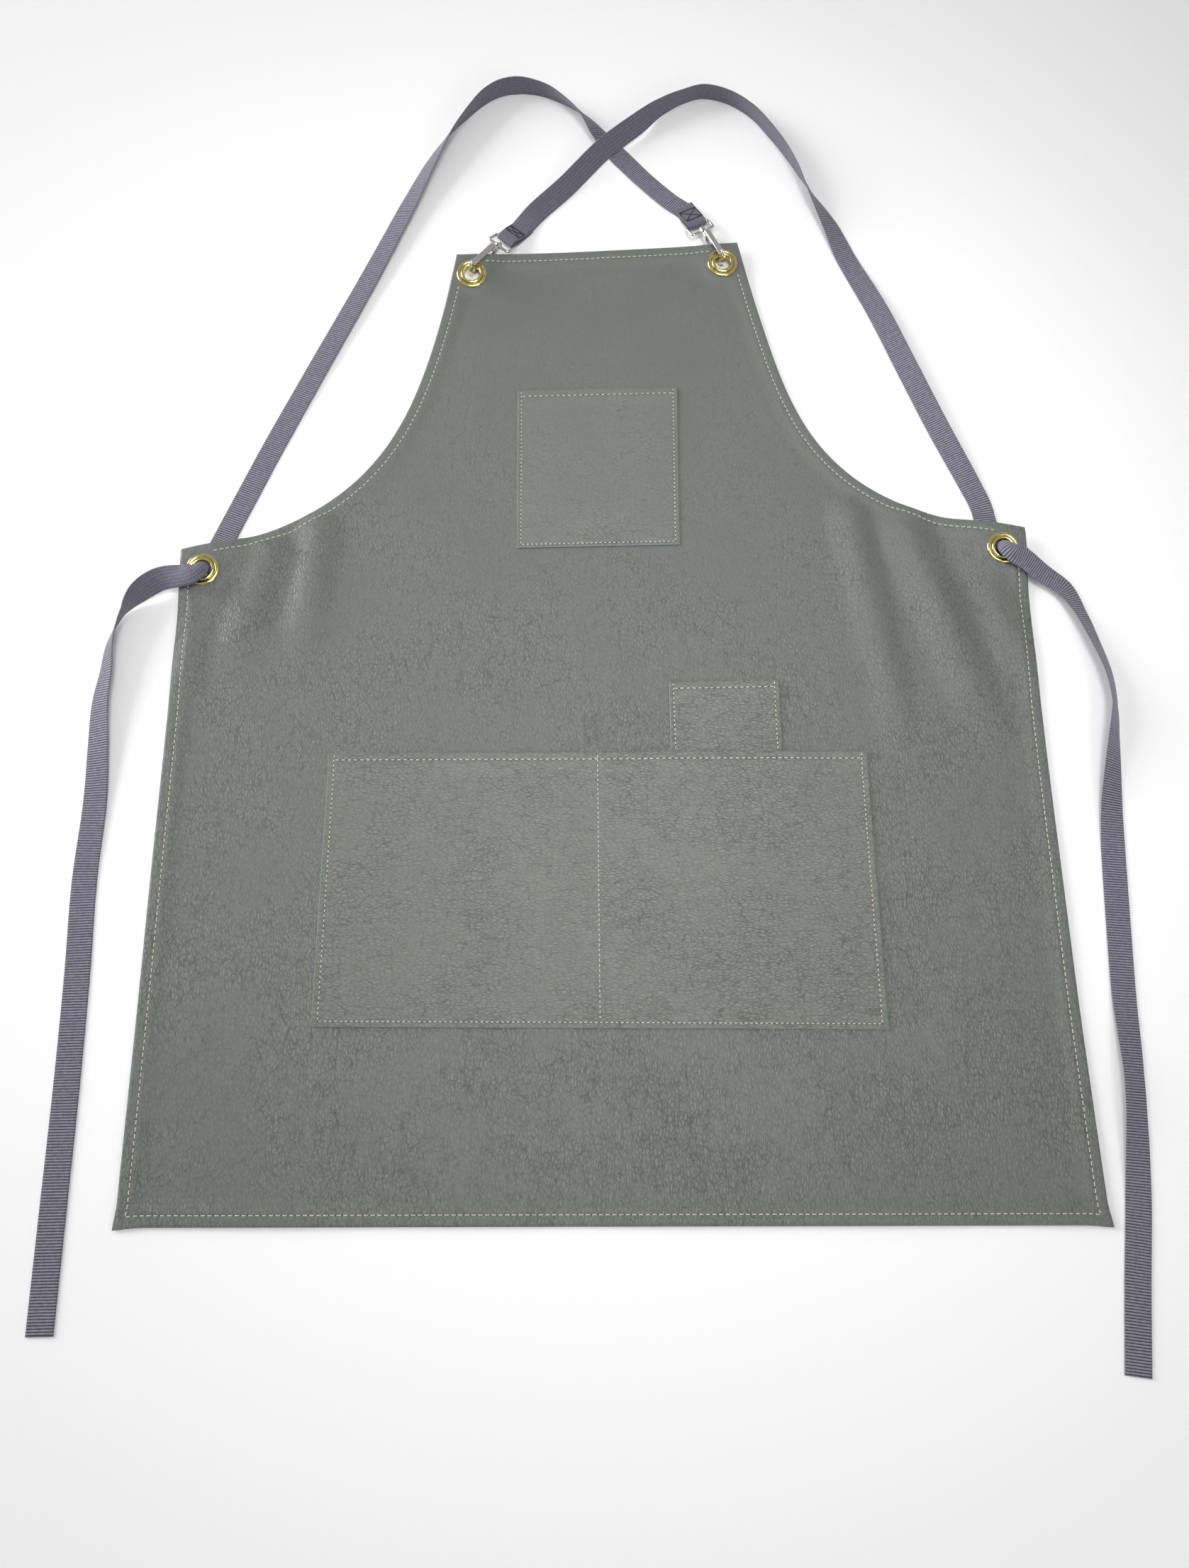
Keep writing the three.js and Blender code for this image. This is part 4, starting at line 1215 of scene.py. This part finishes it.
EYELET_PROFILE = [(7, -0.7), (7.5, -1.1), (12.2, -1.1), (12.2, -0.3), (7.7, -0.3), (7.7, 3.7)]
EYELET_PROFILE += crown(10.0, 7.0, 3.75, 1.2)
WASHER_PROFILE = [(8, 2.9), (13.3, 2.8)] + crown(13.6, 9.9, 3.0, 1.2) + [(8, 3.5)]


def pick(piece):
    """Makes one piece the only selected one and the active one."""
    deselect()
    piece.select_set(True)
    bpy.context.view_layer.objects.active = piece


def turned(name, profile, steps, *materials, closed=True):
    """Spins a profile round the Z axis; an open one starts and ends on the axis."""
    points = np.c_[profile[:, 0], np.zeros(len(profile)), profile[:, 1]]
    mesh = bpy.data.meshes.new(name)
    profile_edges = [(i, (i + 1) % len(points)) for i in range(len(points) if closed else len(points) - 1)]
    mesh.from_pydata(points.tolist(), profile_edges, [])
    piece = placed(name, mesh)
    pick(piece)
    bpy.ops.object.mode_set(mode="EDIT")
    bpy.ops.mesh.select_all(action="SELECT")
    bpy.ops.mesh.spin(steps=steps, angle=2 * np.pi, center=(0, 0, 0), axis=(0, 0, 1))
    bpy.ops.mesh.select_all(action="SELECT")
    bpy.ops.mesh.remove_doubles(threshold=0.001)
    bpy.ops.mesh.normals_make_consistent(inside=False)
    bpy.ops.object.mode_set(mode="OBJECT")
    mesh.shade_smooth()
    for material in materials:
        mesh.materials.append(material)
    return piece


for seat, (x, y, lift, slope, _) in SEATS.items():
    tilt = Matrix.Rotation(np.arctan(slope), 4, "X")
    place = Matrix.Scale(MM, 4) @ Matrix.Translation((x, y, lift)) @ tilt
    for kind, profile in (("eyelet_", EYELET_PROFILE), ("washer_", WASHER_PROFILE)):
        piece = turned(kind + seat + "_brass", np.array(profile, float), 64, brass)
        piece.data.transform(place)
        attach(piece, "apron")
        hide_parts(kind + seat)
    print(seat, "eyelet and washer turned")

# %% [markdown]
# ## Snap hooks
# A snap hook has a wire eye that the webbing turns round, a knuckle with a swivel post, a bent hook and
# a sprung gate. It is modelled once in its own coordinates, with its length along X, and set down twice.
# A wire is a curve with a round bevel, made a mesh at the end.


# %% Helpers for the hooks
def wire(points, radius, closed):
    """A round wire along the given points, as a mesh."""
    curve = bpy.data.curves.new("wire", "CURVE")
    curve.dimensions = "3D"
    curve.bevel_depth = radius
    curve.bevel_resolution = 5
    curve.use_fill_caps = True
    spline = curve.splines.new("POLY")
    spline.points.add(len(points) - 1)
    for place, point in zip(spline.points, points):
        place.co = (*point, 1)
    spline.use_cyclic_u = closed
    piece = placed("wire", curve)
    pick(piece)
    bpy.ops.object.convert(target="MESH")
    return bpy.context.object


def filleted(corners, radius, closed, steps=8):
    """A run of points whose corners are rounded."""
    corners = [np.array(c, float) for c in corners]
    made = []
    for i, corner in enumerate(corners):
        if not closed and i in (0, len(corners) - 1):
            made.append(corner)
            continue
        a = corners[i - 1] - corner
        b = corners[(i + 1) % len(corners)] - corner
        reach = min(radius, np.linalg.norm(a) * 0.49, np.linalg.norm(b) * 0.49)
        start, end = corner + unit(a) * reach, corner + unit(b) * reach
        for t in np.linspace(0, 1, steps + 1):
            made.append((1 - t) ** 2 * start + 2 * t * (1 - t) * corner + t ** 2 * end)
    return made


def joined(name, pieces):
    """Several meshes as one object."""
    deselect()
    for piece in pieces:
        piece.select_set(True)
    bpy.context.view_layer.objects.active = pieces[0]
    bpy.ops.object.join()
    whole = bpy.context.object
    whole.name = name
    whole.data.name = name
    return whole


def bevelled(piece, width):
    """Rounds the sharp edges of a mesh."""
    rounding = piece.modifiers.new("rounding", "BEVEL")
    rounding.width = width
    rounding.segments = 3
    rounding.limit_method = "ANGLE"
    bpy.context.view_layer.objects.active = piece
    bpy.ops.object.modifier_apply(modifier=rounding.name)
    return piece


print("a rounded corner has", len(filleted([(0, 0, 0), (4, 0, 0), (4, 4, 0)], 1, False)) - 2, "points")


# %% Model the eye and the lug
EYE_WIRE, EYE_WIDTH = 1.3, 25
SWIVEL_HEIGHT = 8


def rod(start, end, radius, hole=0.0, soft=0.3):
    """A round bar or tube along X, with softened rims."""
    profile = [(hole, start), (radius - soft, start), (radius, start + soft), (radius, end - soft),
               (radius - soft, end), (hole, end)]
    piece = turned("rod", np.array(profile, float), 40, closed=hole > 0)
    piece.data.transform(Matrix.Rotation(np.pi / 2, 4, "Y"))
    return piece


def make_eye():
    """The wire eye with the lug that turns on the post."""
    near, far, half = -1.7, -BAR_BACK, EYE_WIDTH / 2 - EYE_WIRE
    corners = [(near, -half, SWIVEL_HEIGHT), (near, half, SWIVEL_HEIGHT),
               (far, half, BAR_HEIGHT), (far, -half, BAR_HEIGHT)]
    loop = wire(filleted(corners, 2.2, True), EYE_WIRE, True)
    lug = rod(-3.4, 0, 3.3, 1.9, 0.5)
    lug.data.transform(Matrix.Translation((0, 0, SWIVEL_HEIGHT)))
    return joined("hook_eye", [loop, lug])


eye = make_eye()
print("eye:", len(eye.data.polygons), "faces")


# %% Model the hook's body
HOOK_WIRE, GATE_WIDTH = 1.7, 5.2
GATE_PIN = (4.5, 0, 13.2)


def make_body():
    """The knuckle block, the bent hook, the swivel post and the gate's pin."""
    path = [(4.0, 0, 5), (9.9, 0, 3.2), (13.9, 0, 2), (30, 0, 2)]
    path = filleted(path, 3, False)
    for t in np.linspace(0, np.pi / 2, 9)[1:]:
        path.append(np.array([30 + 5 * np.sin(t), 0, 7 - 5 * np.cos(t)]))
    for t in np.linspace(0, np.pi / 2, 9):
        path.append(np.array([32.8 + 2.2 * np.cos(t), 0, 15 + 2.2 * np.sin(t)]))
    path.append(np.array([31.6, 0, 17.2]))
    bent = wire(path, HOOK_WIRE, False)
    deselect()
    bpy.ops.mesh.primitive_cube_add(size=1, location=(3.85, 0, 6.6))
    block = bpy.context.object
    block.data.transform(Matrix.Diagonal((7.1, GATE_WIDTH, 8.0, 1)))
    block.data.transform(Matrix.Translation(block.location))
    block.location = (0, 0, 0)
    bevelled(block, 0.9)
    post = rod(-3.9, 0.6, 1.6)
    head = rod(-4.9, -3.7, 2.6, 0, 0.5)
    for piece in (post, head):
        piece.data.transform(Matrix.Translation((0, 0, SWIVEL_HEIGHT)))
    ear = wire(filleted([(4.5, 0, 9.6), GATE_PIN], 1, False), 1.0, False)
    pin = rod(-3.0, 3.0, 0.7, 0, 0.2)
    pin.data.transform(Matrix.Translation(GATE_PIN) @ Matrix.Rotation(np.pi / 2, 4, "Z"))
    return joined("hook_body", [bent, block, post, head, ear, pin])


body = make_body()
print("hook body:", len(body.data.polygons), "faces")

# %% [markdown]
# The gate is a stamped channel: a top with two cheeks that straddle the pin. Its side view is drawn as one
# face and extruded to the gate's width. The top's long edges get a wide bevel, because stamping rounds
# them, and a Boolean cuts the groove from below.


# %% Model the gate
def make_gate():
    """The sprung gate as a channel with rounded edges."""
    side_view = [(2.6, 11.5), (6.5, 11.5), (9, 13.3), (32.4, 13.7), (32.4, 15.2), (3.7, 15.2), (2.6, 14.1)]
    mesh = bpy.data.meshes.new("gate")
    mesh.from_pydata([(x, -GATE_WIDTH / 2, z) for x, z in side_view], [], [list(range(len(side_view)))])
    gate = placed("hook_gate", mesh)
    pick(gate)
    bpy.ops.object.mode_set(mode="EDIT")
    bpy.ops.mesh.select_all(action="SELECT")
    bpy.ops.mesh.extrude_region_move(TRANSFORM_OT_translate={"value": (0, GATE_WIDTH, 0)})
    bpy.ops.mesh.select_all(action="SELECT")
    bpy.ops.mesh.normals_make_consistent(inside=False)
    bpy.ops.mesh.select_mode(type="EDGE")
    bpy.ops.mesh.select_all(action="DESELECT")
    bpy.ops.object.mode_set(mode="OBJECT")
    for edge in mesh.edges:
        a, b = [mesh.vertices[i].co for i in edge.vertices]
        edge.select = min(a.z, b.z) > 15.1 and abs(a.x - b.x) > 20
    bpy.ops.object.mode_set(mode="EDIT")
    bpy.ops.mesh.bevel(offset=0.9, segments=6, affect="EDGES")
    bpy.ops.object.mode_set(mode="OBJECT")
    bevelled(gate, 0.2)
    deselect()
    bpy.ops.mesh.primitive_cube_add(size=1, location=(0, 0, 0))
    cutter = bpy.context.object
    cutter.data.transform(Matrix.Translation((14.4, 0, 11.3)) @ Matrix.Diagonal((28, 2.6, 6, 1)))
    cut_away(gate, cutter)
    return gate


gate = make_gate()
print("gate:", len(gate.data.polygons), "faces")

# %% [markdown]
# Each of the three pieces is now copied for the left and the right hook, turned to its heading and moved to
# its place. The gate rides on its own body, because it swings, and the rest rides on the apron.

# %% Set the hooks down
for side, (x, y, nose) in HOOKS.items():
    place = (Matrix.Scale(MM, 4) @ Matrix.Translation((x, y, 0))
             @ Matrix.Rotation(np.radians(nose), 4, "Z"))
    for model, node, body_name in ((eye, "hook_eye_", "apron"), (body, "hook_body_", "apron"),
                                   (gate, "hook_gate_", "gate_")):
        piece = placed(node + side + "_nickel", model.data.copy())
        piece.data.transform(place)
        piece.data.materials.clear()
        piece.data.materials.append(nickel)
        pick(piece)
        bpy.ops.object.shade_smooth_by_angle(angle=np.radians(40))
        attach(piece, body_name if body_name == "apron" else body_name + side)
        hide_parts(node + side)
    print(side, "hook set at", x, y)
for model in (eye, body, gate):
    bpy.data.objects.remove(model)
